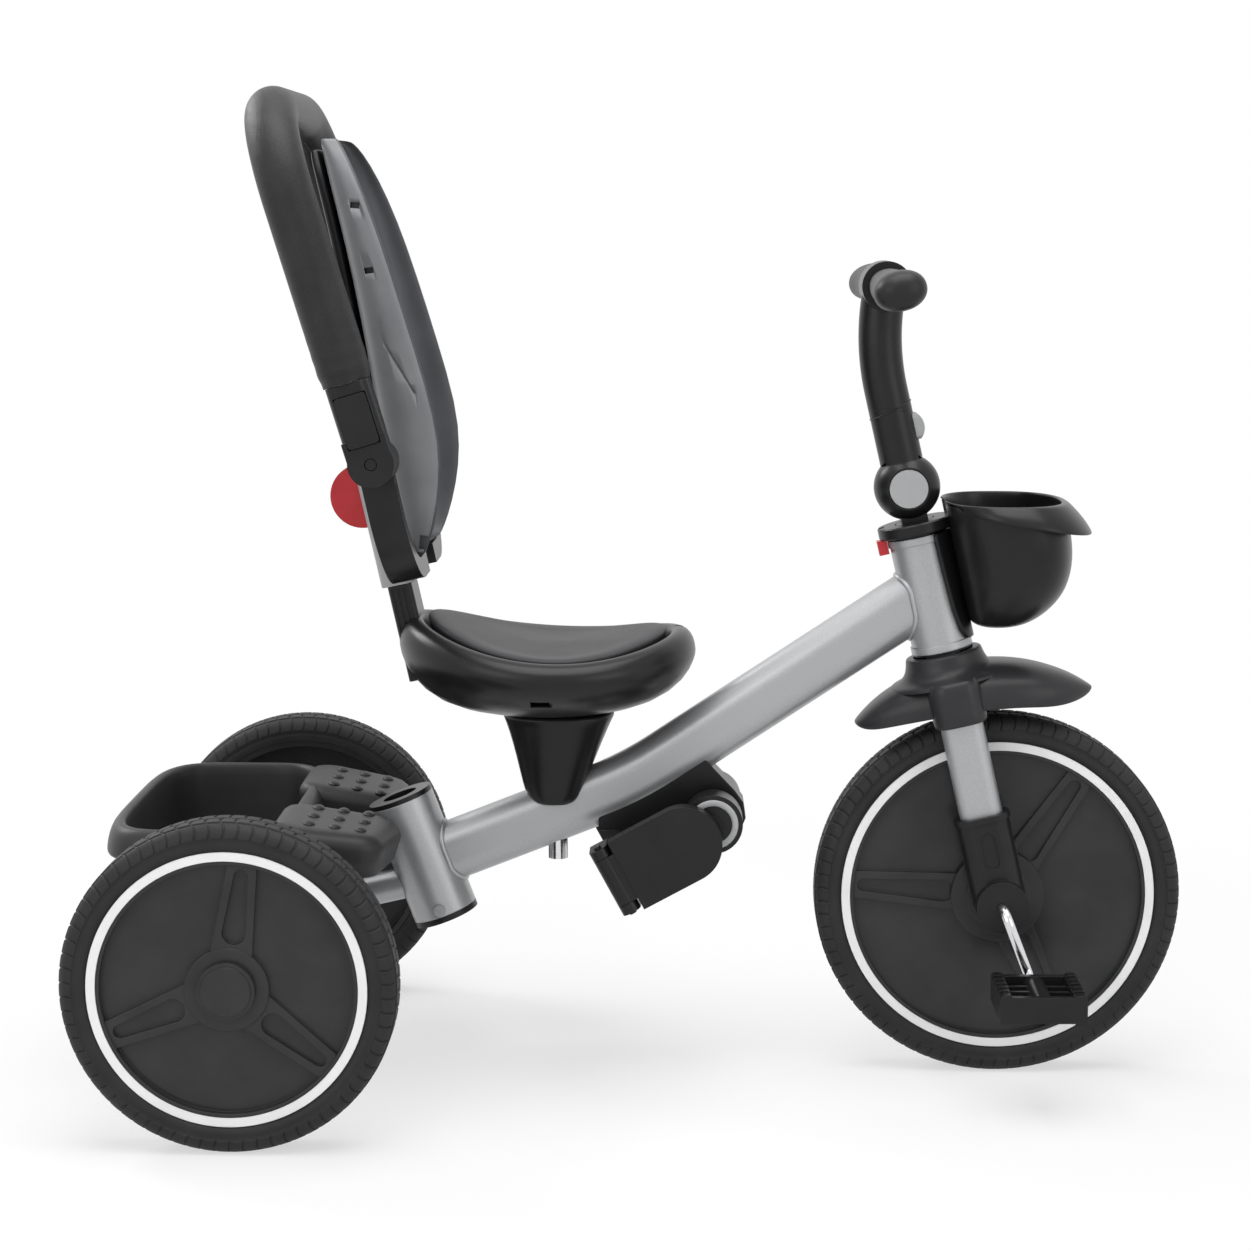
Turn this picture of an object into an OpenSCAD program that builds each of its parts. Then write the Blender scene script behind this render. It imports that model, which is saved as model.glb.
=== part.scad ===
// Toddler tricycle with a push-handle socket, a swing-over safety bar, a sliding backrest,
// a folding handlebar and a folding footrest. Lengths are millimetres and angles are degrees.
// X points forward, Y to the rider's left and Z up. The tyres stand on Z = 0.

/* [Wheels] */
// Distance from the rear axle to the front hub
wheelbase = 600; // [585:1:625]
// Radius of the front tyre
front_r = 150; // [145:1:154]
// Radius of the rear tyres
rear_r = 128; // [122:1:134]
// Distance between the middle planes of the rear wheels
track = 450; // [430:1:480]
// Width of every tyre
tyre_w = 44; // [40:1:46]
// Radial depth of every tyre
tyre_depth = 21; // [18:1:24]
// Radius of the tyre shoulders
shoulder_r = 12; // [9:0.5:14]
// Number of tread blocks round every tyre
tread_count = 36; // [24:1:48]
// Depth of the tread grooves
tread_depth = 1.6; // [0.8:0.1:3]
// Radial width of the pale ring on a wheel
ring_w = 7; // [4:0.5:9]
// Number of spokes on a wheel face
spoke_count = 3; // [3:1:5]
// Spoke width at the hub
spoke_w = 32; // [24:1:36]
// Radius of the raised hub plate
hub_plate_r = 32; // [28:1:36]
// Radius of the rear axle rod
axle_r = 6; // [5:0.5:7]

/* [Steering] */
// Backward lean of the steering axis
rake = 13; // [11:0.5:15]
// Start of the head tube, measured up the steering axis from the front hub
head_s0 = 208; // [206:0.5:214]
// Length of the head tube
head_len = 96; // [88:1:100]
// Outer radius of the head tube
head_r = 24; // [22:0.5:26]
// Wall of the head tube
head_wall = 3.5; // [2:0.5:4]
// Radius of the steerer rod
steerer_r = 14; // [12:0.5:15]
// Sideways distance of a fork leg from the middle
leg_y = 40; // [39:0.5:44]
// Fore and aft width of a fork leg
leg_w = 35; // [30:1:38]
// Sideways thickness of a fork leg
leg_t = 22; // [18:1:24]
// Outer radius of the mudguard arch
guard_r = 190; // [186:1:194]
// Wall of the mudguard
guard_wall = 3; // [2:0.5:4]
// Half width of the mudguard
guard_half_w = 47; // [42:1:52]

/* [Crank] */
// Radius of the crank rod
crank_r = 4.5; // [4:0.25:5.5]
// Distance from the hub to a pedal spindle
crank_throw = 62; // [54:1:70]
// Direction of the right crank arm below the horizontal
crank_angle = 69; // [0:1:180]
// Width of a pedal along its spindle
pedal_len = 70; // [60:1:78]
// Fore and aft size of a pedal
pedal_w = 68; // [56:1:74]
// Height of a pedal
pedal_h = 24; // [20:1:28]

/* [Handlebar] */
// Distance from the front hub to the folding joint, along the steering axis
fold_s = 344; // [342:0.5:350]
// Radius of the round folding joint
fold_r = 27.5; // [25:0.5:28]
// Radius of a grey pivot button
pivot_button_r = 15.5; // [13:0.5:16]
// Radius of the stem
stem_r = 17.5; // [15:0.5:19]
// Straight length of the stem above the folding joint
stem_straight = 81; // [74:1:90]
// Radius of the forward bend of the upper stem
stem_bend_r = 200; // [160:5:260]
// Angle of the forward bend of the upper stem
stem_bend = 24; // [16:1:28]
// Length from the middle of the handlebar to the end of a grip
bar_half = 185; // [165:1:205]

/* [Main tube] */
// Height of the flat-oval main tube
tube_h = 50; // [44:1:54]
// Width of the flat-oval main tube
tube_w = 36; // [32:1:40]
// Wall of the main tube
tube_wall = 2.5; // [1.5:0.5:4]
// Slope of the rear half of the main tube
tube_slope = 21.5; // [20:0.5:23]
// Share of the head tube's length at which the main tube meets it
meet_share = 0.5156; // [0.48:0.01:0.56]
// Radius of the bend in the main tube
tube_bend_r = 300; // [240:10:360]
// Place of the bend along the trike
tube_bend_x = 300; // [295:1:305]
// Height of the bend
tube_bend_z = 240.7; // [236:0.1:246]

/* [Push-handle socket] */
// Backward lean of the push-handle socket
socket_lean = 20.8; // [18:0.2:24]
// Outer radius of the socket
socket_r = 27; // [25:0.5:28]
// Length of the socket
socket_len = 100; // [92:1:106]
// Bore radius for the push handle
socket_bore_r = 14.5; // [12:0.5:16]
// Wall of the steel socket
socket_wall = 3; // [2:0.5:4]
// Place of the lower end of the socket along the trike
socket_x = 143.5; // [140:0.5:147]
// Height of the lower end of the socket
socket_z = 131; // [127:0.5:135]

/* [Seat] */
// Place of the seat post along the trike
post_x = 238; // [234:0.5:242]
// Radius of the seat post pin
post_r = 8; // [7:0.5:9]
// Height of the underside of the seat
seat_under_z = 303; // [299:1:307]
// Half length of the seat
seat_half_l = 122; // [116:1:128]
// Half width of the seat
seat_half_w = 122; // [116:1:128]
// Height of the widest line of the seat rim
seat_rim_z = 350; // [347:1:353]
// Lift of the seat rim at its front and back, and its drop at the sides
seat_saddle = 10; // [6:0.5:12]
// Rise of the seat rim from the middle to the back
seat_tilt = 6; // [3:0.5:8]

/* [Backrest] */
// Backward lean of the backrest post
back_lean = 12.5; // [11:0.5:14]
// Width of the backrest post core
core_w = 50; // [44:1:56]
// Depth of the backrest post core
core_d = 20; // [17:0.5:22]
// Wall of the sliding post cover
cover_wall = 4; // [3:0.5:5]
// Half width of the backrest shell
shell_half_w = 96; // [88:1:104]
// Wall of the backrest shell
shell_wall = 3; // [2.5:0.5:4]
// Wall of the front panel
panel_wall = 2.5; // [2:0.5:3]
// Travel of the red height button
height_press = 5; // [3:0.5:6]
// Radius of the red height button
height_button_r = 26; // [22:0.5:28]

/* [Safety bar] */
// Distance of the safety bar pivot behind the foot of the backrest post
pivot_back = 17; // [14:0.5:19]
// Height of the safety bar pivot above the foot of the backrest post
pivot_up = 151; // [148:1:154]
// Sideways distance of the bar legs from the middle
bar_y = 135; // [133.5:0.5:142]
// Distance from the pivot to the middle of the cross bar
bar_reach = 280; // [279:1:296]
// Backward lean of the parked bar
bar_lean = 17; // [15.5:0.5:22]
// Radius of the padded sleeve
pad_r = 21.5; // [19:0.5:22]
// Radius of the steel tube inside the bar
bar_tube_r = 9; // [8:0.5:10]
// Radius of the bends in the bar
bar_bend_r = 72; // [60:1:84]
// Length of a bar socket above the pivot
bar_socket_len = 64; // [58:1:72]
// Radius of the pivot pins of the bar
bar_pin_r = 6; // [5:0.5:7]

/* [Baskets] */
// Height of the front basket rim
front_basket_z = 477; // [472:1:482]
// Half length of the front basket at its rim
front_basket_half_l = 49; // [45:1:54]
// Half width of the front basket
front_basket_half_w = 70; // [62:1:76]
// Depth of the front basket
front_basket_d = 105; // [96:1:110]
// Wall of both baskets
basket_wall = 3; // [2.5:0.5:4]
// Height of the rear basket rim
rear_basket_z = 228; // [224:1:234]
// Depth of the rear basket
rear_basket_d = 80; // [70:1:83]
// Half length of the rear basket
rear_basket_half_l = 80; // [72:1:84]
// Half width of the rear basket
rear_basket_half_w = 150; // [138:1:158]

/* [Footrest] */
// Place of the footrest pivot as a share of the wheelbase
foot_share = 0.61; // [0.6:0.01:0.62]
// Drop of the footrest pivot below the middle of the main tube
foot_drop = 68.4; // [66:0.2:71]
// Radius of the footrest pivot discs
foot_disc_r = 24; // [21:0.5:26]
// Length of the footrest arms from the pivot to the plate hinge
foot_arm = 90; // [86:1:96]
// Angle of the folded arms below the horizontal
foot_arm_angle = 28.6; // [26:0.2:31]
// Length of a foot plate
foot_plate_len = 94; // [84:1:104]
// Width of a foot plate
foot_plate_w = 62; // [54:1:66]
// Thickness of a foot plate
foot_plate_t = 16; // [12:1:18]

/* [Fits] */
// Gap between pieces that move past each other
gap = 0.4; // [0.3:0.05:0.6]
// Radial running fit of a pin or a shaft
run_fit = 0.05; // [0.02:0.01:0.1]
// Gap between pieces that are fixed together
seat_fit = 0.1; // [0.05:0.05:0.3]

/* [Hidden] */
$fn = 64;

// Colours of the real materials
silver = "#BFC1C3";
black = "#2E2E30";
dark_grey = "#4A4A4C";
mid_grey = "#6E6F72";
button_grey = "#B0B0B0";
red = "#C63A40";
pale = "#F4F4F4";
chrome = "#D8D8DA";

// Overall frame: the middle of the box of the whole trike is at X = 0
origin_x = (wheelbase + front_r - rear_r) / 2;
module place() { translate([-origin_x, 0, 0]) children(); }
// Frame of the steering axis: origin at the front hub, Z up the axis
module steer() { place() translate([wheelbase, 0, front_r]) rotate([0, -rake, 0]) children(); }
module both_sides() { children(); mirror([0, 1, 0]) children(); }
// Rod along Y between two places
module rod_y(r, y0, y1) { translate([0, y0, 0]) rotate([-90, 0, 0]) cylinder(r = r, h = y1 - y0); }
// Flat oval with its long side along X
module stadium(l, w) {
    square([l - w, w], center = true);
    for (end = [-1, 1]) translate([end * (l - w) / 2, 0]) circle(d = w);
}
// Rectangle with round corners
module round_rect(l, w, r) {
    square([l - 2 * r, w], center = true);
    square([l, w - 2 * r], center = true);
    for (a = [-1, 1], b = [-1, 1]) translate([a * (l / 2 - r), b * (w / 2 - r)]) circle(r = r);
}
// Closed solid through a list of rings that all have the same number of points
module loft(rings) {
    n = len(rings[0]);
    last = (len(rings) - 1) * n;
    sides = [for (k = [0 : len(rings) - 2], i = [0 : n - 1])
        let (j = (i + 1) % n, a = k * n)
        each [[a + i, a + n + i, a + n + j], [a + i, a + n + j, a + j]]];
    caps = [[for (i = [0 : n - 1]) i], [for (i = [n - 1 : -1 : 0]) last + i]];
    polyhedron(points = [for (ring = rings) each ring], faces = concat(sides, caps), convexity = 8);
}
// Thin wall through a list of rings, each running along the outer line and back along the inner line
module wall_loft(rings) {
    n = len(rings[0]);
    last = (len(rings) - 1) * n;
    sides = [for (k = [0 : len(rings) - 2], i = [0 : n - 1])
        let (j = (i + 1) % n, a = k * n)
        each [[a + i, a + n + i, a + n + j], [a + i, a + n + j, a + j]]];
    low = [for (i = [0 : n / 2 - 2]) each [[i, i + 1, n - 2 - i], [i, n - 2 - i, n - 1 - i]]];
    high = [for (f = low) [last + f[2], last + f[1], last + f[0]]];
    polyhedron(points = [for (ring = rings) each ring], faces = concat(sides, low, high), convexity = 8);
}
function wall_ring(outer, inner) = [each outer, for (i = [len(inner) - 1 : -1 : 0]) inner[i]];
// Number of points round a lofted ring
ring_n = 40;
function power(v, e) = sign(v) * pow(abs(v), e);
// Rounded oval ring: middle, half sizes, squareness, a rise towards the back, and a saddle that
// lifts front and back and lowers the sides
function oval(x, z, rx, ry, e = 1, rise = 0, saddle = 0) = [for (i = [0 : ring_n - 1])
    let (a = 360 * i / ring_n)
    [x + rx * power(cos(a), e), ry * power(sin(a), e),
        z - rise * power(cos(a), e) + saddle * cos(2 * a)]];

// Wheels: local Z is the axle, pointing outward
tyre_half = tyre_w / 2;
rim_half = tyre_half - 3;
rim_wall = 5;
web_z = 9;
web_wall = 4;
web_face = web_z + web_wall;
spoke_rise = 4;
hub_face = web_face + spoke_rise + 1;
hub_barrel_r = 18;
hub_inner = tyre_half + 2;
ring_t = 3;
module wheel_right(y) { translate([0, -y, 0]) rotate([90, 0, 0]) children(); }
module tyre(r) {
    side_half = tyre_half - 2;
    difference() {
        rotate_extrude($fn = 128) intersection() {
            union() {
                translate([r - tyre_depth, -side_half]) square([tyre_depth - shoulder_r, 2 * side_half]);
                translate([r - shoulder_r, shoulder_r - tyre_half])
                    square([shoulder_r, 2 * (tyre_half - shoulder_r)]);
                for (s = [-1, 1]) translate([r - shoulder_r, s * (tyre_half - shoulder_r)])
                    circle(r = shoulder_r);
            }
            translate([r - tyre_depth + seat_fit, -tyre_half]) square([tyre_depth, tyre_w]);
        }
        tread_grooves(r);
    }
}
// One groove round the middle of the tread and short slanted grooves on each shoulder
module tread_grooves(r) {
    groove_w = 2.2;
    rotate_extrude($fn = 128) translate([r - tread_depth, -groove_w / 2]) square([2 * tread_depth, groove_w]);
    for (i = [0 : tread_count - 1], s = [-1, 1])
        rotate([0, 0, (i + (s + 1) / 4) * 360 / tread_count])
            translate([r - tread_depth, -groove_w / 2, s > 0 ? tyre_half - shoulder_r - 4 : -tyre_half])
                cube([2 * tread_depth, groove_w, shoulder_r + 4]);
}
module wheel_ring(r) {
    rim = r - tyre_depth;
    rotate_extrude($fn = 128) translate([rim - 1 - ring_w, rim_half - ring_t]) square([ring_w, ring_t + 0.5]);
}
module spoke_outline(r_in, r_out) {
    tip_w = spoke_w * 0.69;
    polygon([[r_in, -spoke_w / 2], [r_out, -tip_w / 2], [r_out, tip_w / 2], [r_in, spoke_w / 2]]);
}
// Long recess in a spoke, wide near the hub and narrow near the rim
module spoke_recess(r_in, r_out) {
    wide = spoke_w * 0.28;
    narrow = spoke_w * 0.16;
    translate([r_in + wide, 0]) circle(r = wide);
    translate([r_out - narrow, 0]) circle(r = narrow);
    polygon([[r_in + wide, -wide], [r_out - narrow, -narrow], [r_out - narrow, narrow], [r_in + wide, wide]]);
}
// Dished wheel half: rim, web with spokes and hub, open on its inner side
module wheel_half(r, bore, phase, inner_rim, inner_hub) {
    rim = r - tyre_depth;
    ring_in = rim - 1 - ring_w;
    difference() {
        union() {
            rotate_extrude($fn = 128) {
                translate([rim - rim_wall, -inner_rim]) square([rim_wall, rim_half + inner_rim]);
                translate([ring_in - 3, web_z]) square([rim - ring_in + 3, rim_half - web_z]);
                translate([bore, web_z]) square([rim - bore - 1, web_wall]);
                translate([bore, -inner_hub]) square([hub_barrel_r - bore, inner_hub + web_face]);
                translate([bore, web_z]) square([hub_plate_r - bore, hub_face - web_z]);
            }
            for (i = [0 : spoke_count - 1]) rotate([0, 0, phase + i * 360 / spoke_count])
                translate([0, 0, web_z + 1]) linear_extrude(web_wall - 1 + spoke_rise) difference() {
                    spoke_outline(hub_plate_r - 6, ring_in - 2);
                    spoke_recess(hub_plate_r + 3, ring_in - 6);
                }
        }
        rotate_extrude($fn = 128) translate([ring_in - seat_fit, rim_half - ring_t - seat_fit])
            square([ring_w + 2 * seat_fit, ring_t + 1]);
    }
}
front_phase = 56;
rear_phase = 82;
module front_hub() { place() translate([wheelbase, 0, front_r]) children(); }
module rear_hub_right() { place() translate([0, 0, rear_r]) wheel_right(track / 2) children(); }
module rear_hub_left() { mirror([0, 1, 0]) rear_hub_right() children(); }
module front_tyre() { color(black) front_hub() wheel_right(0) tyre(front_r); }
module front_rings() { color(pale) front_hub() both_sides() wheel_right(0) wheel_ring(front_r); }
// Two dished halves back to back, clamped by the crank
module front_disc() {
    color(black) front_hub() both_sides() wheel_right(0)
        wheel_half(front_r, crank_r + seat_fit, front_phase, -seat_fit / 2, -seat_fit / 2);
}
hub_cover_r = 38;
fork_wall = 4;
fork_inner = leg_y - leg_t / 2 - fork_wall;
module front_hub_covers() {
    bore = crank_r + seat_fit;
    color(black) front_hub() both_sides() wheel_right(0) rotate_extrude() {
        translate([bore, hub_face]) square([hub_cover_r - bore, 3]);
        translate([bore, hub_face]) square([hub_cover_r - 12 - bore, fork_inner - gap - hub_face]);
    }
}
rear_bore = axle_r + run_fit;
module rear_disc() { wheel_half(rear_r, rear_bore, rear_phase, rim_half, hub_inner); }
axle_head_r = 10;
axle_head_t = 3;
hub_cap_r = 22;
module hub_cap() {
    top = hub_face + gap + axle_head_t + 1;
    rotate_extrude() {
        translate([0, top]) square([hub_cap_r - 3, 2.5]);
        translate([0, top]) square([hub_cap_r, 1.2]);
        translate([axle_head_r + 2, hub_face]) square([hub_cap_r - axle_head_r - 2, top - hub_face]);
    }
}
module rear_tyre_right() { color(black) rear_hub_right() tyre(rear_r); }
module rear_ring_right() { color(pale) rear_hub_right() wheel_ring(rear_r); }
module rear_disc_right() { color(black) rear_hub_right() rear_disc(); }
module hub_cap_right() { color(black) rear_hub_right() hub_cap(); }
module rear_tyre_left() { color(black) rear_hub_left() tyre(rear_r); }
module rear_ring_left() { color(pale) rear_hub_left() wheel_ring(rear_r); }
module rear_disc_left() { color(black) rear_hub_left() rear_disc(); }
module hub_cap_left() { color(black) rear_hub_left() hub_cap(); }

// Crank: one bent rod through the front hub, with a pedal spindle at each end
boss_half = 62;
crank_bend_r = 12;
crank_plane = boss_half + 2 + crank_bend_r;
spindle_start = crank_plane + crank_bend_r;
pedal_start = spindle_start + 1.5;
pedal_end_wall = 5;
spindle_end = pedal_start + pedal_len - pedal_end_wall - gap;
module crank_half() {
    rod_y(crank_r, crank_bend_r - crank_plane, 0);
    translate([crank_bend_r, crank_bend_r - crank_plane, 0]) rotate([0, 0, 180])
        rotate_extrude(angle = 90) translate([crank_bend_r, 0]) circle(r = crank_r);
    translate([crank_bend_r, -crank_plane, 0]) rotate([0, 90, 0])
        cylinder(r = crank_r, h = crank_throw - 2 * crank_bend_r);
    translate([crank_throw - crank_bend_r, -spindle_start, 0])
        rotate_extrude(angle = 90) translate([crank_bend_r, 0]) circle(r = crank_r);
    translate([crank_throw, 0, 0]) rod_y(crank_r, -spindle_end, -spindle_start);
}
module crank_turn() { front_hub() rotate([0, crank_angle, 0]) children(); }
module crank() {
    color(chrome) crank_turn() {
        crank_half();
        rotate([0, 0, 180]) crank_half();
    }
}
// Right pedal round its own spindle: barrel closed outside, two tread bars, end plates, ribs
module pedal_body() {
    bar_w = 10;
    rib_t = 3;
    barrel_r = crank_r + 5;
    rib_gap = (pedal_len - 6) / 4;
    difference() {
        union() {
            rod_y(barrel_r, -pedal_len / 2, pedal_len / 2);
            for (s = [-1, 1]) translate([s * (pedal_w - bar_w) / 2, 0, 0])
                rotate([90, 0, 0]) linear_extrude(pedal_len, center = true)
                    round_rect(bar_w, pedal_h, 3);
            for (s = [-1, 1]) translate([0, s * (pedal_len - 6) / 2, 0])
                cube([pedal_w - bar_w, 6, pedal_h * 0.86], center = true);
            for (i = [-1 : 1]) translate([0, i * rib_gap, 0])
                cube([pedal_w - bar_w, rib_t, pedal_h * 0.5], center = true);
        }
        rod_y(crank_r + run_fit, pedal_end_wall - pedal_len / 2, pedal_len);
        for (s = [-1, 1], t = [-1, 1], i = [-2 : 2])
            translate([s * (pedal_w / 2), i * pedal_len / 6, t * pedal_h / 2])
                cube([3 * bar_w, pedal_len / 16, 5], center = true);
    }
}
module pedal_right() {
    color(black) crank_turn() translate([crank_throw, -pedal_start - pedal_len / 2, 0])
        rotate([0, -crank_angle, 0]) pedal_body();
}
module pedal_left() {
    color(black) crank_turn() translate([-crank_throw, pedal_start + pedal_len / 2, 0])
        rotate([0, -crank_angle, 0]) mirror([0, 1, 0]) pedal_body();
}

// Main tube: the side view runs through the socket axis, one bend and the steering axis
function heading(a) = [cos(a), sin(a)];
function across(u, v) = u[0] * v[1] - u[1] * v[0];
// Distance from p along the heading a to the line through q along the heading b
function reach(p, a, q, b) = across(q - p, heading(b)) / across(heading(a), heading(b));
bend_point = [tube_bend_x, tube_bend_z];
socket_foot = [socket_x, socket_z];
tube_meet = head_s0 + meet_share * head_len;
meet_point = [wheelbase - tube_meet * sin(rake), front_r + tube_meet * cos(rake)];
front_slope = atan2(meet_point[1] - tube_bend_z, meet_point[0] - tube_bend_x);
tube_bend = front_slope - tube_slope;
// Height of the middle of the main tube at a place along the trike
function tube_z(x) = tube_bend_z + (x - tube_bend_x) * tan(x < tube_bend_x ? tube_slope : front_slope);
tube_front_len = reach(bend_point, front_slope, [wheelbase, front_r], 90 + rake);
tube_rear_len = -reach(bend_point, tube_slope, socket_foot, 90 + socket_lean);
bend_tangent = tube_bend_r * tan(tube_bend / 2);
tube_lap = 2;
lap_step = 0.02;
module at_bend(slope) { place() translate([tube_bend_x, 0, tube_bend_z]) rotate([0, -slope, 0]) children(); }
// Sweeps a flat profile along the rear run and the bend of the main tube
module tube_sweep() {
    at_bend(tube_slope) {
        translate([-tube_rear_len, 0, 0]) rotate([0, 90, 0])
            linear_extrude(tube_rear_len - bend_tangent) children();
        translate([-bend_tangent, 0, tube_bend_r]) rotate([90, 0, 0]) rotate([0, 0, -90])
            rotate_extrude(angle = tube_bend, $fn = 128) translate([tube_bend_r, 0]) children();
    }
}
// Front run of the main tube, which laps a little way over the bend
module tube_front() {
    at_bend(front_slope) translate([bend_tangent - tube_lap, 0, 0]) rotate([0, 90, 0])
        linear_extrude(tube_front_len - bend_tangent + tube_lap) children();
}
module tube_solid(grow) {
    tube_sweep() stadium(tube_h + 2 * grow, tube_w + 2 * grow);
    tube_front() stadium(tube_h + 2 * (grow + lap_step), tube_w + 2 * (grow + lap_step));
}
module head_solid(grow) {
    steer() translate([0, 0, head_s0 - 30]) cylinder(r = head_r + grow, h = head_len + 60);
}
module socket_frame() {
    place() translate([socket_x, 0, socket_z]) rotate([0, -socket_lean, 0]) children();
}
module socket_solid(grow) {
    socket_frame() translate([0, 0, -30]) cylinder(r = socket_r + grow, h = socket_len + 60);
}
module seat_post_rod(grow) {
    place() translate([post_x, 0, post_foot_z]) cylinder(r = post_r + grow, h = seat_under_z - post_foot_z);
}
module main_tube() {
    color(silver) difference() {
        union() {
            tube_sweep() difference() {
                stadium(tube_h, tube_w);
                stadium(tube_h - 2 * tube_wall, tube_w - 2 * tube_wall);
            }
            tube_front() difference() {
                stadium(tube_h + 2 * lap_step, tube_w + 2 * lap_step);
                stadium(tube_h - 2 * (tube_wall + lap_step), tube_w - 2 * (tube_wall + lap_step));
            }
        }
        head_solid(seat_fit);
        socket_solid(seat_fit);
        seat_post_rod(seat_fit);
    }
}
head_s1 = head_s0 + head_len;
head_bore = head_r - head_wall;
bush_flange = 2;
module head_tube() {
    color(silver) steer() rotate_extrude() {
        translate([head_bore, head_s0]) square([head_wall, head_len]);
        translate([head_bore, head_s0]) square([head_wall + 1.2, 6]);
        translate([head_bore, head_s1 - 6]) square([head_wall + 1.2, 6]);
    }
}
// Flanged bushes at both ends of the head tube, the upper one with a broad cap over the joint
collar_edge = 1;
module headset_bushes() {
    bore = steerer_r + run_fit;
    spigot = head_bore - seat_fit;
    color(black) steer() difference() {
        rotate_extrude() {
            translate([bore, head_s0 - bush_flange]) square([head_r - bore, bush_flange]);
            translate([bore, head_s0 - bush_flange]) square([spigot - bore, 14]);
            translate([bore, head_s1]) square([head_r - bore, bush_flange]);
            translate([bore, head_s1 - 12]) square([spigot - bore, 12 + bush_flange]);
            polygon([[collar_bore, collar_s0], [collar_r - collar_edge, collar_s0],
                [collar_r, collar_s0 + collar_edge], [collar_r, collar_s1 - collar_edge],
                [collar_r - collar_edge, collar_s1], [collar_bore, collar_s1]]);
        }
        // Slot for the shank of the lock tab
        translate([-tab_in - 4, -tab_half / 2 - gap, collar_s0 - 1])
            cube([4 + gap, tab_half + 2 * gap, collar_s1 - collar_s0 + 2]);
    }
}

// Push-handle socket: steel tube, plastic liner with the handle bore, and a bottom cap
socket_inner = socket_r - socket_wall - seat_fit;
cap_plug = 10;
liner_floor = 6;
screw_r = 2.5;
screw_z = 6;
module socket_screw_holes() {
    socket_frame() translate([0, 0, screw_z]) rod_y(screw_r + seat_fit, -2 * socket_r, 2 * socket_r);
}
module handle_socket() {
    color(silver) difference() {
        socket_frame() difference() {
            cylinder(r = socket_r, h = socket_len);
            translate([0, 0, -1]) cylinder(r = socket_r - socket_wall, h = socket_len + 2);
        }
        socket_screw_holes();
    }
}
module socket_liner() {
    color(black) socket_frame() difference() {
        union() {
            translate([0, 0, cap_plug]) cylinder(r = socket_inner, h = socket_len - cap_plug);
            translate([0, 0, socket_len]) cylinder(r = socket_r, h = 4);
        }
        translate([0, 0, cap_plug + liner_floor]) cylinder(r = socket_bore_r, h = socket_len);
    }
}
module socket_cap() {
    color(black) difference() {
        socket_frame() {
            translate([0, 0, -5]) cylinder(r = socket_r, h = 5);
            translate([0, 0, -1]) cylinder(r = socket_inner, h = cap_plug + 1);
        }
        socket_screw_holes();
    }
}
module frame_screws() {
    color(chrome) socket_frame() translate([0, 0, screw_z]) both_sides() {
        rod_y(screw_r, -socket_r, 10 - socket_r);
        rod_y(2 * screw_r, -socket_r - 2, -socket_r);
    }
}

// Rear yoke: axle beam, strut to the socket and two pads that carry the rear basket
beam_r = 14;
strut_r = 13;
beam_half = track / 2 - hub_inner - gap;
strut_foot = socket_foot + 30 * [-sin(socket_lean), cos(socket_lean)];
strut_rise = strut_foot[1] - rear_r;
strut_angle = atan2(strut_rise, strut_foot[0]);
strut_len = norm([strut_foot[0], strut_rise]);
basket_floor_z = rear_basket_z - rear_basket_d;
module at_axle() { place() translate([0, 0, rear_r]) children(); }
module rear_yoke() {
    color(silver) difference() {
        at_axle() {
            rod_y(beam_r, -beam_half, beam_half);
            rotate([0, 90 - strut_angle, 0]) cylinder(r = strut_r, h = strut_len);
            both_sides() translate([-20, 60, 0]) cube([40, 30, basket_floor_z - rear_r]);
        }
        at_axle() rod_y(axle_r + seat_fit, -track, track);
        socket_solid(seat_fit);
    }
}
module rear_axle() {
    head_y = track / 2 + hub_face + gap;
    color(chrome) at_axle() {
        rod_y(axle_r, -head_y, head_y);
        both_sides() rod_y(axle_head_r, head_y, head_y + axle_head_t);
    }
}

// Seat: post pin through the main tube, pedestal that straddles it, round shell and inlay pad
post_foot_z = 176;
seat_x = post_x - 8;
module seat_post() { color(chrome) seat_post_rod(0); }
module seat_pedestal() {
    top = seat_under_z;
    x = post_x;
    rings = [
        oval(x, top - 79, 12, 26, 0.7), oval(x, top - 77, 17, 28, 0.7), oval(x, top - 72, 21, 29, 0.7),
        oval(x, top - 62, 24, 30, 0.7), oval(x + 1, top - 40, 30, 33, 0.75),
        oval(x + 2, top - 18, 36, 38, 0.8),
        oval(x + 3, top - 5, 41, 43, 0.85), oval(x + 3, top, 43, 45, 0.85)
    ];
    color(black) difference() {
        place() loft(rings);
        tube_solid(seat_fit);
        seat_post_rod(seat_fit);
    }
}
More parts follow.
